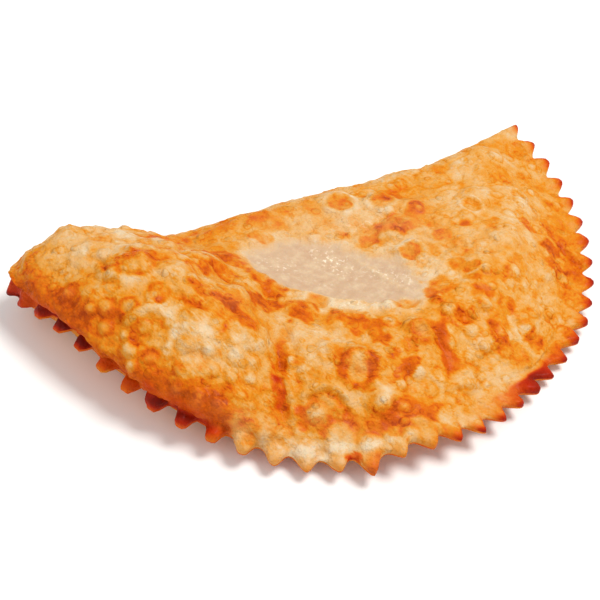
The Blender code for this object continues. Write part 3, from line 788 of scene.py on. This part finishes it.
def sink_rings(skin):
    """Fallen blisters: a raised ring, a sunk middle, and a darker or a paler ring of skin."""
    wobble = 1 + 0.25 * cloud(skin.points, 6.0, 4.9)
    for x, y, radius, height, dark in RINGS:
        distance = np.hypot(skin.x - x, skin.y - y) * wobble
        ring = hump(distance, radius, 0.20 * radius + 0.3)
        inner = hump(distance, radius * 0.66, 0.16 * radius + 0.25)
        skin.lift += height * ring - 0.6 * height * hump(distance, 0.0, 0.6 * radius)
        ring_tone, inner_tone = DARK_RING if dark else PALE_RING
        skin.brown += ring * ring_tone + inner * inner_tone


def fold_creases(skin):
    """Folds and cracks: a hump of the distance from each broken line, its edge a little ragged."""
    ragged = 0.5 * cloud(skin.points, 3.0, 6.6)
    for points, width, height, tone in CREASES:
        runs = [line_distance(skin.x, skin.y, *ends)[0] for ends in zip(points[:-1], points[1:])]
        mark = hump(np.minimum.reduce(runs) + ragged, 0.0, width)
        skin.lift += height * mark
        skin.brown += 0.7 * tone * mark


def brown_broadly(skin):
    """Broad tones by place, some of them painted highlight and painted shade, and clouds of three
    sizes.
    """
    points = skin.points
    skin.brown = add_bells(skin.brown, skin.x, skin.y, TONES)
    blotch = cloud(points, 11.0, 4.4) * 0.12 + cloud(points, 5.0, 7.7) * 0.12
    skin.brown += (blotch + cloud(points, 2.3, 1.1) * 0.09) * (1 - 0.88 * skin.patch)


def fry_marks(skin):
    """Brown marks, a few of them painted shade: shaky ovals with a soft edge and a grainy inside.
    Gives their mask.
    """
    shaky = 1 + 0.5 * cloud(skin.points, 2.6, 2.9)
    grainy = 0.72 + 0.55 * cloud(skin.points, 1.7, 3.3)
    browner = np.zeros_like(skin.x)
    for shape in MARKS:
        along, across = turned(skin.x, skin.y, shape)
        mark = ease((1.22 - np.hypot(along, across) * shaky) / 0.34) * grainy
        browner = np.maximum(browner, shape[5] * mark)
        skin.red = np.maximum(skin.red, 0.26 * shape[6] * mark)
    skin.brown += 1.38 * browner
    return browner


def fry_seam(skin):
    """Tones of the pressed seam, its teeth and the two long edges, some of them painted shade.  Gives
    the cream stretch's mask.

    Each row is a mask with what it adds to the browning and the least redness that it gives.
    """
    place, past_root, points = skin.place, skin.past_root, skin.points
    tooth = 0.5 + 0.5 * np.cos(2 * np.pi * skin.phase)
    far = beyond(place, FAR_FROM)
    tip = hump(skin.from_edge, 0.0, 2.4 + 0.8 * far) * tooth
    red_tips = beyond(place, RED_TIPS_FROM)
    shaded = hump(place, *SHADED_WALL, 4)
    hanging = hump(place, *HANGING_END) * np.clip(0.9 + 0.5 * cloud(points, 4.0, 5.2), 0, 1)
    corner = hump(place, *DARK_CORNER)
    creamy = hump(place, *CREAM_TEETH) * hump(past_root, 4.0, 6.0)
    outer = ease((past_root + 4.0) / 6.0)
    lip = ease((past_root + 0.1) / 2.0)
    wall = hump(past_root, -2.0, 5.5) * (1 + 0.5 * cloud(points, 4.0, 2.9))
    middle, step = WALL_PATCHES
    # Patches of deeper painted shade along the near wall.
    patchy = np.clip(0.9 + 0.5 * np.cos(2 * np.pi * (place - middle) / step), 0.5, 1.0)
    crook = hump(past_root, 2.1, 3.2) * (0.8 + 0.2 * tooth) * patchy * until(place, CROOK_UNTIL)
    back = hump(skin.from_fold, 11.0, 6.0) * ease((skin.x + 48) / 18.0) * ease((24 - skin.x) / 24.0)
    torn = hump(skin.phase, *TORN_BROWN) * ease((past_root - 2.0) / 2.5)
    for mask, browning, redness in (
        (wall, 0.05, 0.0),
        # Painted shade down the shaded near wall.
        (wall * shaded * patchy, 0.48, 0.5),
        # Painted shade under the overhang at the dark corner, on the wall and on the teeth.
        (wall * corner, 0.08, 0.0),
        (lip * corner, 0.35, 1.0),
        (outer * hanging, 0.40, 1.0),
        (tip * (1 - shaded), 0.36 + 0.06 * red_tips, 0.0),
        (tip * (1 - 0.7 * shaded), 0.0, 0.26 + 0.70 * red_tips),
        (creamy, -0.10, 0.0),
        # Painted shade in the crevice over the left teeth.
        (crook * shaded, 0.34, 1.1),
        (back * (0.8 + 0.5 * cloud(points, 4.0, 7.1)), 0.26, 0.0),
        (far * hump(past_root, 3.0, 6.0), 0.06, 0.0),
        (torn, 0.55, 0.25),
    ):
        skin.brown += browning * mask
        skin.red = np.maximum(skin.red, redness * mask)
    return creamy


def leave_pale(skin, browner, creamy, bubble_tops):
    """Skin that stayed pale, and painted highlights, which take the brown and the red away.  Gives how
    pale it is.

    The marks cut into the patch's border, and the halo round the patch leaves the marks out.
    """
    points = skin.points
    cover = np.clip(browner / 0.28, 0.0, 1.0)
    skin.patch = skin.patch * (1 - cover * ease((skin.oval - 0.72) / 0.2))
    halo = hump(skin.oval, 1.06, 0.09) * (0.5 + 0.6 * cloud(points, 5.0, 6.1)) * (1 - 0.9 * cover)
    cream = highest_bell(skin.x, skin.y, CREAM) * (0.8 + 0.5 * cloud(points, 3.0, 5.9))
    # The bubble tops and a few cream spots are paled as painted highlight.
    pale = np.maximum.reduce([cream, 0.8 * halo, 0.18 * creamy, 0.12 * bubble_tops])
    pale = np.clip(pale, 0.0, 1.0)
    skin.red = skin.red * (1 - np.clip(1.6 * pale, 0.0, 1.0))
    skin.brown = np.clip(skin.brown * (1 - pale) + 0.06 * pale, -0.1, 0.95)
    skin.brown = skin.brown * (1 - skin.patch) + 0.10 * skin.patch
    return 0.45 * pale


def dress_over(size, place):
    """Upper side of the dough: its points pushed out by wrinkles and relief, and its five tones."""
    skin = bare_skin(size, place)
    normal = point_normals(skin.points)
    grid = pushed(skin.points, normal, wrinkles(skin))
    bubble_tops = raise_blisters(skin)
    crack_skin(skin)
    sink_rings(skin)
    fold_creases(skin)
    low = skin.lift < 0.9
    grid = pushed(grid, normal, skin.lift * skin.clear * (1 - 0.6 * skin.patch * low))
    grid[..., 2] -= PATCH_SAG * skin.patch * skin.clear
    brown_broadly(skin)
    browner = fry_marks(skin)
    creamy = fry_seam(skin)
    pale = leave_pale(skin, browner, creamy, bubble_tops)
    return grid, skin.brown, skin.red, pale, skin.patch, highest_bell(skin.x, skin.y, FLECKS)


def plain_tones(grid, brown, red):
    """A grid with its browning and redness, and none of the three tones of pale skin."""
    return (grid, brown, red, *np.zeros((3, *brown.shape)))


def dress_under(size, place):
    """Lower side of the pressed seam, browned all over by the oil."""
    grid, _ = flange_grid(size, place, -1.0)
    brown = 0.62 + 0.2 * cloud(grid, 4.5, 3.0)
    red = 0.35 + 0.3 * cloud(grid, 6.0, 1.0) + 0.6 * hump(place, *HANGING_END)[:, None]
    return plain_tones(grid, brown, red)


def dress_belly(size, place):
    """Belly of the dough: flattened blisters, with the skin between them just clear of the table."""
    _, base = body_grid(size, place, BELLY_ROWS)
    from_fold = np.linalg.norm(base - base[:, :1], axis=-1)
    from_root = np.linalg.norm(base - base[:, -1:], axis=-1)
    clear = ease(from_fold / 5.0) * ease(from_root / 5.0) * ease(from_ends(place) / 8.0)[:, None]
    dent = 0.5 + 0.5 * cloud(base, 8.0, 5.0)
    dent = 0.9 * np.clip(dent * 1.6 - 0.5, 0.0, 1.0) + 0.25 * np.clip(cloud(base, 3.0, 4.0), 0, 1)
    grid = pushed(base, point_normals(base), dent * clear)
    brown = 0.62 - 0.35 * np.clip(dent, 0, 1) + 0.14 * cloud(base, 10.0, 2.0) + 0.08 * cloud(base, 3.0)
    near_tip = np.linalg.norm(base - base[:1, -1:], axis=-1)
    red = np.maximum(0.25 * np.clip(cloud(base, 9.0, 8.0), 0, 1), 0.8 * hump(near_tip, 0.0, 7.0))
    return plain_tones(grid, brown, red)


def end_cap(upper, lower):
    """Faces across one end of the skin: fans of the top's points, then quads along the flange."""
    ratio = TOP_ROWS // BELLY_ROWS
    faces = []
    for k in range(BELLY_ROWS):
        fan = [*upper[k * ratio:(k + 1) * ratio + 1], lower[k + 1]]
        faces.append(fan + [lower[k]] if k > 0 else fan)
    for k in range(FLANGE_ROWS):
        high = TOP_ROWS + k
        low = BELLY_ROWS + k
        faces.append([upper[high], upper[high + 1], lower[low + 1], lower[low]])
    return faces


def skin_of_dough(size):
    """Whole closed skin: points, faces and the five tone fields.

    Every column is a loop: fold, top, upper flange, lower flange, belly and back to the fold.  The
    two end loops are closed by strips between their upper and lower halves.
    """
    place = np.linspace(0.0, 1.0, COLUMNS + 1)
    fields = []
    sides = zip(dress_over(size, place), dress_under(size, place), dress_belly(size, place))
    for upper, lower, bottom in sides:
        way_back = np.concatenate([bottom[:, 1:-1], lower], 1)[:, ::-1]
        fields.append(np.concatenate([upper, way_back], 1))
    points = fields[0]
    here = np.arange(points.shape[0] * points.shape[1]).reshape(points.shape[:2])
    after = np.roll(here, -1, axis=1)
    faces = np.stack([here[:-1], after[:-1], after[1:], here[1:]], -1).reshape(-1, 4).tolist()
    upper_count = TOP_ROWS + FLANGE_ROWS + 1
    for loop, backwards in ((here[0], True), (here[-1], False)):
        lower = [loop[0], *loop[upper_count:][::-1]]
        for face in end_cap(loop[:upper_count], lower):
            faces.append([int(point) for point in (face[::-1] if backwards else face)])
    return points.reshape(-1, 3), faces, [field.reshape(-1) for field in fields[1:]]


def linear(code):
    """Linear red, green, blue and 1 from an sRGB hex code."""
    values = [int(code[k:k + 2], 16) / 255 for k in (1, 3, 5)]
    values = [v / 12.92 if v <= 0.04045 else ((v + 0.055) / 1.055) ** 2.4 for v in values]
    return (*values, 1.0)


def add_node(tree, kind, settings=None, links=None):
    """Add a node, set its properties and sockets, and link its inputs from other nodes' outputs."""
    node = tree.nodes.new(kind)
    for name, value in (settings or {}).items():
        if isinstance(name, str) and hasattr(node, name):
            setattr(node, name, value)
        else:
            node.inputs[name].default_value = value
    for name, source in (links or {}).items():
        tree.links.new(source, node.inputs[name])
    return node


def ramp_stops(node, stops):
    """Give a colour ramp its stops: place and colour."""
    elements = node.color_ramp.elements
    while len(elements) < len(stops):
        elements.new(0.5)
    for element, (place, colour) in zip(elements, stops):
        element.position = place
        element.color = colour


def flat_bubbles(tree, place):
    """Flat bubbles: the thin ring and the low dome in each wobbly cell, in some flocks only."""
    wobble = add_node(tree, "ShaderNodeTexNoise", {"Scale": 1 / (WOBBLE_SIZE * MM), "Detail": 1.0},
                      {"Vector": place}).outputs["Color"]
    wobbly = add_node(tree, "ShaderNodeVectorMath",
                      {"operation": "MULTIPLY_ADD", 1: (WOBBLE_REACH * MM,) * 3},
                      {0: wobble, 2: place}).outputs[0]
    cell = add_node(tree, "ShaderNodeTexVoronoi", {"Scale": 1 / (BUBBLE_CELL * MM)},
                    {"Vector": wobbly}).outputs["Distance"]
    off_ring = add_node(tree, "ShaderNodeMath", {"operation": "SUBTRACT", 1: RING_AT},
                        {0: cell}).outputs[0]
    near_ring = add_node(tree, "ShaderNodeMath", {"operation": "ABSOLUTE"}, {0: off_ring}).outputs[0]
    ring = add_node(tree, "ShaderNodeMapRange", {"From Max": RING_HALF, "To Min": 1.0, "To Max": 0.0},
                    {"Value": near_ring}).outputs["Result"]
    dome = add_node(tree, "ShaderNodeMapRange", {"From Min": RING_AT, "From Max": 0.10},
                    {"Value": cell}).outputs["Result"]
    flock = add_node(tree, "ShaderNodeTexNoise", {"Scale": 1 / (FLOCK_SIZE * MM), "Detail": 1.0},
                     {"Vector": wobbly}).outputs["Fac"]
    chosen = add_node(tree, "ShaderNodeMapRange", {"From Min": 0.47, "From Max": 0.56},
                      {"Value": flock}).outputs["Result"]
    return [
        add_node(tree, "ShaderNodeMath", {"operation": "MULTIPLY"}, {0: part, 1: chosen}).outputs[0]
        for part in (ring, dome)
    ]


def browned_dough(tree, look, brown, mottle, grain, island, outline):
    """Colour of the crust by its tone: the browning and the patterns, less what they add on average."""
    shore = add_node(tree, "ShaderNodeMapRange", {"From Min": 0.49, "From Max": 0.57},
                     {"Value": island}).outputs["Result"]
    tone = brown
    for amount, pattern in ((look.mottle, mottle), (look.mottle * 0.6, grain),
                            (look.islands, shore), (look.rings, outline)):
        tone = add_node(tree, "ShaderNodeMath", {"operation": "MULTIPLY_ADD", 1: amount},
                        {0: pattern, 2: tone}).outputs[0]
    average = look.mottle * 0.8 + look.islands * 0.45 + look.rings * 0.15
    tone = add_node(tree, "ShaderNodeMath", {"operation": "SUBTRACT", 1: average}, {0: tone}).outputs[0]
    crust = add_node(tree, "ShaderNodeValToRGB", {}, {"Fac": tone})
    ramp_stops(crust, (
        (0.00, look.cream), (0.18, look.straw), (0.36, look.gold), (0.52, look.orange),
        (0.70, look.amber), (0.86, look.russet), (1.00, look.umber),
    ))
    return crust.outputs[0]


def laid_over(tree, look, crust, pale, patch, red, fleck, mottle, painted_glint):
    """Layers over the crust: pale skin and painted highlights, the chalky patch, the scorched edges and
    painted shade in red, and painted glints in white specks.
    """
    creamed = add_node(tree, "ShaderNodeMix", {"data_type": "RGBA", 7: look.pale},
                       {"Factor": pale, 6: crust}).outputs[2]
    chalk = add_node(tree, "ShaderNodeValToRGB", {}, {"Fac": mottle})
    ramp_stops(chalk, ((0.25, look.chalk_dark), (0.5, look.chalk), (0.75, look.chalk_light)))
    chalked = add_node(tree, "ShaderNodeMix", {"data_type": "RGBA"},
                       {"Factor": patch, 6: creamed, 7: chalk.outputs[0]}).outputs[2]
    scorch_and_shade = add_node(tree, "ShaderNodeValToRGB", {}, {"Fac": red})
    ramp_stops(scorch_and_shade, ((0.1, look.amber), (0.4, look.vermilion), (0.75, look.brick),
                        (1.0, look.maroon)))
    # Share of the red: scorch, and the painted shade on the near wall and in its crevice.
    scorched = add_node(tree, "ShaderNodeMath", {"operation": "MULTIPLY", "use_clamp": True, 1: 1.6},
                        {0: red}).outputs[0]
    reddened = add_node(tree, "ShaderNodeMix", {"data_type": "RGBA"},
                        {"Factor": scorched, 6: chalked, 7: scorch_and_shade.outputs[0]}).outputs[2]
    # White specks of painted glint.
    speck = add_node(tree, "ShaderNodeMapRange", {"From Min": 0.57, "From Max": 0.70},
                     {"Value": painted_glint}).outputs["Result"]
    glint_share = add_node(tree, "ShaderNodeMath", {"operation": "MULTIPLY"},
                      {0: fleck, 1: speck}).outputs[0]
    return add_node(tree, "ShaderNodeMix", {"data_type": "RGBA", 7: look.painted_glint},
                    {"Factor": glint_share, 6: reddened}).outputs[2]


def fine_relief(tree, place, patch, pore, raised):
    """Bumped normal: sunk borders between pimples, pores, and flat bubbles, calmer on the patch."""
    pimple = add_node(tree, "ShaderNodeTexVoronoi",
                      {"feature": "SMOOTH_F1", "Scale": 1 / (PIMPLE_CELL * MM)},
                      {"Vector": place}).outputs["Distance"]
    pimpled = add_node(tree, "ShaderNodeMath", {"operation": "MULTIPLY_ADD", 1: -0.8},
                       {0: pimple, 2: pore}).outputs[0]
    relief = add_node(tree, "ShaderNodeMath", {"operation": "MULTIPLY_ADD", 1: 0.9},
                      {0: raised, 2: pimpled}).outputs[0]
    strength = add_node(tree, "ShaderNodeMath", {"operation": "MULTIPLY_ADD", 1: -0.7, 2: 1.0},
                        {0: patch}).outputs[0]
    return add_node(tree, "ShaderNodeBump", {"Distance": FINE_RELIEF * MM},
                    {"Height": relief, "Strength": strength}).outputs[0]


def fried_crust(look):
    """Fried wheat dough, blistered in hot oil and drained.

    It gives the eye gold to red-brown mottling, a chalky pale patch, darker feet round each bubble,
    and a soft greasy shine that breaks up over fine pores.
    """
    material = bpy.data.materials.new("fried_dough_crust")
    material.use_nodes = True
    tree = material.node_tree
    tree.nodes.clear()
    place = add_node(tree, "ShaderNodeTexCoord").outputs["Object"]
    brown, red, pale, patch, fleck = (
        add_node(tree, "ShaderNodeAttribute", {"attribute_name": name}).outputs["Fac"]
        for name in TONE_NAMES
    )
    mottle, grain, island, painted_glint, pore = (
        add_node(tree, "ShaderNodeTexNoise",
                 {"Scale": 1 / (size * MM), "Detail": detail, "Roughness": roughness},
                 {"Vector": place}).outputs["Fac"]
        for size, detail, roughness in PATTERNS
    )
    outline, raised = flat_bubbles(tree, place)
    crust = browned_dough(tree, look, brown, mottle, grain, island, outline)
    colour = laid_over(tree, look, crust, pale, patch, red, fleck, mottle, painted_glint)
    bump = fine_relief(tree, place, patch, pore, raised)
    rough = add_node(tree, "ShaderNodeMapRange",
                     {"To Min": look.roughness - 0.10, "To Max": look.roughness + 0.14},
                     {"Value": mottle}).outputs["Result"]
    shader = add_node(tree, "ShaderNodeBsdfPrincipled", {
        "Subsurface Weight": 0.08, "Subsurface Radius": (0.9, 0.35, 0.12), "Subsurface Scale": 0.0015,
        "Specular IOR Level": 0.07, "Coat Weight": look.grease, "Coat Roughness": 0.2, "IOR": 1.45,
    }, {"Base Color": colour, "Roughness": rough, "Normal": bump})
    add_node(tree, "ShaderNodeOutputMaterial", {}, {"Surface": shader.outputs[0]})
    return material


def floor_paper(colour):
    """Matt white seamless paper: an even, pale ground with no grain."""
    material = bpy.data.materials.new("white_seamless_paper")
    material.use_nodes = True
    shader = material.node_tree.nodes["Principled BSDF"]
    shader.inputs["Base Color"].default_value = colour
    shader.inputs["Roughness"].default_value = 0.9
    shader.inputs["Specular IOR Level"].default_value = 0.1
    return material


def number(name, words, default, unit="LENGTH", low=0.0, high=1.0):
    """A float property with its name, description, default and unit."""
    return bpy.props.FloatProperty(name=name, description=words, default=default, unit=unit,
                                   min=low, max=high, precision=4)


def tint(name, words, code):
    """A colour property whose default is an sRGB hex code."""
    return bpy.props.FloatVectorProperty(name=name, description=words, default=linear(code),
                                         size=4, subtype="COLOR", min=0.0, max=1.0)


def stations(name, words, values, unit="LENGTH"):
    """A row of numbers at even stations from the drooping tip to the raised tip."""
    return bpy.props.FloatVectorProperty(name=name, description=words, default=values,
                                         size=len(values), unit=unit, precision=4)


class DoughSizes(bpy.types.PropertyGroup):
    """Sizes of the dough."""

    half_length: number("Half length", "Half the length along the fold", 0.100)
    depth_ratio: number("Depth ratio", "Depth of the half moon over its half length", 1.10, "NONE",
                        0.5, 2.0)
    dough_half: number("Dough half thickness", "Half the thickness of the pressed seam", 0.0013)
    edge_half: number("Edge half thickness", "Half the thickness at the cut edge", 0.0007)
    tip_droop: number("Tip droop", "How far the first tip hangs", 0.004)
    tip_swell: number("Tip swell", "Extra half thickness of the first tip", 0.0028)
    crown: number("Crown", "Height of the level top", 0.017)
    rim_reach: stations("Rim reach", "Reach of the tooth tips over the half length",
                        (0.935, 0.935, 0.97, 1.015, 1.01, 0.99, 1.025, 1.03, 0.99), "NONE")
    rim_lift: stations("Rim lift", "Height of the tooth tips over the table",
                       (0.0075, 0.014, 0.0105, 0.0065, 0.005, 0.010, 0.007, 0.004, 0.0045, 0.0065,
                        0.0095, 0.0145))
    fold_bow: stations("Fold bow", "How far the back edge bows out",
                       (0.0, 0.004, 0.0035, -0.0015, -0.0025, -0.002, -0.002, -0.003, -0.004,
                        -0.002, 0.0))
    fold_lift: stations("Fold lift", "Height of the back edge over the table",
                        (0.0115, 0.014, 0.012, 0.009, 0.008, 0.008, 0.008, 0.009, 0.010, 0.011,
                         0.015))
    back_top: stations("Back top", "Height of the top beside the back edge",
                       (0.019, 0.0305, 0.022, 0.014, 0.0165, 0.016, 0.017, 0.016, 0.0175, 0.019,
                        0.0175))
    flange_width: stations("Flange width", "Pressed seam between the filling and the notches",
                           (0.0012, 0.001, 0.0014, 0.0045, 0.006, 0.005, 0.004, 0.0036, 0.0026))
    tooth_depth: stations("Tooth depth", "From a notch to a tooth's tip",
                          (0.005, 0.005, 0.005, 0.0044, 0.0042, 0.004, 0.004, 0.004, 0.004))
    tooth_power: stations("Tooth power", "1 is a wave, 2 is narrow teeth with wide notches",
                          (1.0, 1.0, 1.0, 1.5, 1.7, 1.5, 1.3, 1.2, 1.2), "NONE")
    tooth_skew: stations("Tooth skew", "How far the notches slide along, so the teeth lean",
                         (0.0, 0.0, 0.02, 0.05, 0.06, 0.06, 0.06, 0.05, 0.03), "NONE")
    seam_softness: stations("Seam softness", "0 is a steep wall over the seam, 1 a gentle slope",
                            (0.1, 0.0, 0.1, 0.55, 0.8, 0.8, 0.85, 0.8, 0.7), "NONE")
    seam_rise: stations("Seam rise", "How far in from the seam the filling reaches full height",
                        (0.018, 0.024, 0.025, 0.022, 0.022, 0.022, 0.022, 0.020, 0.016))
    tooth_shift: stations("Tooth shift", "How far the teeth lean along the seam, in teeth",
                          (0.0, -0.05, 0.06, 0.12, 0.14, 0.08, 0.05, 0.03, 0.04, 0.0, 0.0),
                          "NONE")


class CrustLook(bpy.types.PropertyGroup):
    """Finish of the crust."""

    mottle: number("Mottle", "Strength of the fine brown mottling", 0.30, "NONE")
    islands: number("Islands", "Strength of the crisp brown islands", 0.10, "NONE")
    rings: number("Rings", "Strength of the flat bubbles' outlines", 0.17, "NONE")
    roughness: number("Roughness", "How matt the dough is", 0.46, "NONE")
    grease: number("Grease", "Thin shine of oil on the crust", 0.05, "NONE")
    cream: tint("Cream", "Least browned crust", "#DFC7A3")
    straw: tint("Straw", "Lightly browned crust", "#DCB17A")
    gold: tint("Gold", "Most of the crust", "#DB9D4C")
    orange: tint("Orange", "Well fried crust", "#DA891C")
    amber: tint("Amber", "Fry marks", "#D77004")
    russet: tint("Russet", "Dark fry marks", "#CC5802")
    umber: tint("Umber", "Darkest fry marks", "#A63A02")
    # The red tints colour scorched edges, and also painted shade on the near wall, in its crevice and
    # at the dark corner.
    vermilion: tint("Vermilion", "Lightly scorched edge", "#D45004")
    brick: tint("Brick", "Scorched edge", "#AE2402")
    maroon: tint("Maroon", "Darkest scorch", "#701204")
    # Pale also colours the painted highlights.
    pale: tint("Pale", "Skin that stayed pale", "#DDC4A0")
    chalk_dark: tint("Dark chalk", "Hollows of the pale patch", "#C09C7C")
    chalk: tint("Chalk", "The pale patch", "#C8A888")
    chalk_light: tint("Light chalk", "Lightest of the pale patch", "#D6BC9A")
    # Colour of the painted glints in white specks.
    painted_glint: tint("Flour", "Flecks of dry flour", "#F6E6CC")


class StageSettings(bpy.types.PropertyGroup):
    """Camera, floor and light."""

    azimuth: number("Azimuth", "Camera's turn round the pastry", np.radians(-35.87), "ROTATION",
                    -3.2, 3.2)
    elevation: number("Elevation", "Camera's height as an angle", np.radians(42.48), "ROTATION",
                      0.0, 1.57)
    roll: number("Roll", "Camera's turn about its own view", np.radians(8.0), "ROTATION", -3.2, 3.2)
    distance: number("Distance", "From the camera to the point it looks at", 0.5, "LENGTH", 0.1, 5.0)
    lens: number("Lens", "Focal length in millimetres on a 36 mm sensor", 94.5, "NONE", 10.0, 300.0)
    target: bpy.props.FloatVectorProperty(name="Target", description="Point the camera looks at",
                                          default=(-0.0113, 0.0201, 0.0), size=3, unit="LENGTH")
    floor_colour: tint("Floor colour", "Colour of the paper under the pastry", "#FBFBFA")
    key_power: number("Key light", "Power of the main lamp", 9.1, "POWER", 0.0, 1000.0)
    fill_power: number("Fill light", "Power of the wide second lamp", 3.0, "POWER", 0.0, 1000.0)
    room_light: number("Room light", "Brightness of the white room", 0.56, "NONE", 0.0, 10.0)


def hung(scene, name, data, axes, place):
    """A new object in the scene, whose matrix has the three axes and the place as its columns."""
    thing = bpy.data.objects.new(name, data)
    matrix = np.eye(4)
    matrix[:3] = np.stack([*axes, place], -1)
    thing.matrix_world = Matrix(matrix.tolist())
    scene.collection.objects.link(thing)
    return thing


def view_axes(stage):
    """Level direction from the target to below the camera, straight back to it, and its right."""
    level = np.array([np.sin(stage.azimuth), -np.cos(stage.azimuth), 0.0])
    back = np.cos(stage.elevation) * level + np.array([0.0, 0.0, np.sin(stage.elevation)])
    right = np.array([np.cos(stage.azimuth), np.sin(stage.azimuth), 0.0])
    return level, back, right


def place_camera(scene, stage):
    """Camera back from its target, its side turned by the roll about the line of sight."""
    _, back, right = view_axes(stage)
    side = np.cos(stage.roll) * right + np.sin(stage.roll) * np.cross(back, right)
    camera = bpy.data.cameras.new("camera")
    camera.lens = stage.lens
    camera.sensor_width = 36.0
    camera.sensor_fit = "HORIZONTAL"
    camera.clip_start = 0.01
    scene.camera = hung(scene, "camera", camera, (side, np.cross(back, side), back),
                        np.array(stage.target) + back * stage.distance)


def lay_floor(scene, stage):
    """One flat square of paper under the pastry."""
    mesh = bpy.data.meshes.new("floor")
    corners = np.array([(-1, -1, 0), (1, -1, 0), (1, 1, 0), (-1, 1, 0)]) * FLOOR_REACH
    mesh.from_pydata(corners.tolist(), [], [(0, 1, 2, 3)])
    mesh.materials.append(floor_paper(stage.floor_colour))
    floor = bpy.data.objects.new("floor", mesh)
    scene.collection.objects.link(floor)


def hang_lamps(scene, stage):
    """Round discs of light, each facing the origin from its own direction round the view."""
    level, _, right = view_axes(stage)
    powers = (stage.key_power, stage.fill_power)
    for (name, rightwards, away, upwards, distance, width), power in zip(LAMPS, powers):
        lamp = bpy.data.lights.new(name, "AREA")
        lamp.shape = "DISK"
        lamp.size = width
        lamp.energy = power
        lamp.color = LAMP_COLOUR
        facing = rightwards * right - away * level + np.array([0, 0, upwards])
        facing = facing / np.linalg.norm(facing)
        sideways = np.cross([0.0, 1.0, 0.0], facing)
        sideways = sideways / np.linalg.norm(sideways)
        hung(scene, name, lamp, (sideways, np.cross(facing, sideways), facing), facing * distance)


def light_room(scene, stage):
    """White room all round, and plain display colours."""
    world = bpy.data.worlds.new("soft_white_room")
    world.use_nodes = True
    room = world.node_tree.nodes["Background"]
    room.inputs["Color"].default_value = (1.0, 1.0, 1.0, 1.0)
    room.inputs["Strength"].default_value = stage.room_light
    scene.world = world
    scene.view_settings.view_transform = "Standard"
    scene.view_settings.look = "None"


class CHEBUREK_OT_pastry(bpy.types.Operator):
    """Build the fried dough as one closed skin and put it in place of the plain solid"""

    bl_idname = "cheburek.pastry"
    bl_label = "Build pastry"

    def execute(self, context):
        points, faces, tones = skin_of_dough(in_mm(context.scene.cheburek_sizes))
        mesh = bpy.data.meshes.new("pastry_crust")
        mesh.from_pydata(((points - np.array(ORIGIN)) * MM).tolist(), [], faces)
        mesh.polygons.foreach_set("use_smooth", np.ones(len(mesh.polygons), bool))
        for name, values in zip(TONE_NAMES, tones):
            layer = mesh.attributes.new(name, "FLOAT", "POINT")
            layer.data.foreach_set("value", np.clip(values, -0.5, 1.5).astype(np.float32))
        mesh.materials.append(fried_crust(context.scene.cheburek_look))
        mesh.update()
        crust = bpy.data.objects.new("pastry_crust", mesh)
        context.scene.collection.objects.link(crust)
        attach(crust, "root")
        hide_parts("pastry")
        return {"FINISHED"}


class CHEBUREK_OT_stage(bpy.types.Operator):
    """Set the camera, the white floor and soft studio light"""

    bl_idname = "cheburek.stage"
    bl_label = "Set stage"

    def execute(self, context):
        scene = context.scene
        stage = scene.cheburek_stage
        place_camera(scene, stage)
        lay_floor(scene, stage)
        hang_lamps(scene, stage)
        light_room(scene, stage)
        return {"FINISHED"}


class CHEBUREK_PT_panel(bpy.types.Panel):
    """Lists the builders and the values they use"""

    bl_idname = "CHEBUREK_PT_panel"
    bl_label = "Cheburek"
    bl_space_type = "VIEW_3D"
    bl_region_type = "UI"
    bl_category = "Cheburek"

    def draw(self, context):
        layout = self.layout
        layout.operator("cheburek.pastry")
        layout.operator("cheburek.stage")
        for group in (context.scene.cheburek_sizes, context.scene.cheburek_look,
                      context.scene.cheburek_stage):
            box = layout.box()
            for name in group.__annotations__:
                box.prop(group, name)


CLASSES = (DoughSizes, CrustLook, StageSettings, CHEBUREK_OT_pastry, CHEBUREK_OT_stage,
           CHEBUREK_PT_panel)


def register():
    """Register the classes and hang the three groups of settings on the scene."""
    for item in CLASSES:
        bpy.utils.register_class(item)
    bpy.types.Scene.cheburek_sizes = bpy.props.PointerProperty(type=DoughSizes)
    bpy.types.Scene.cheburek_look = bpy.props.PointerProperty(type=CrustLook)
    bpy.types.Scene.cheburek_stage = bpy.props.PointerProperty(type=StageSettings)


def unregister():
    """Take the settings and the classes away again."""
    del bpy.types.Scene.cheburek_stage
    del bpy.types.Scene.cheburek_look
    del bpy.types.Scene.cheburek_sizes
    for item in reversed(CLASSES):
        bpy.utils.unregister_class(item)


def main():
    """Register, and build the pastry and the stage."""
    register()
    bpy.ops.cheburek.pastry()
    bpy.ops.cheburek.stage()


if __name__ == "__main__":
    main()
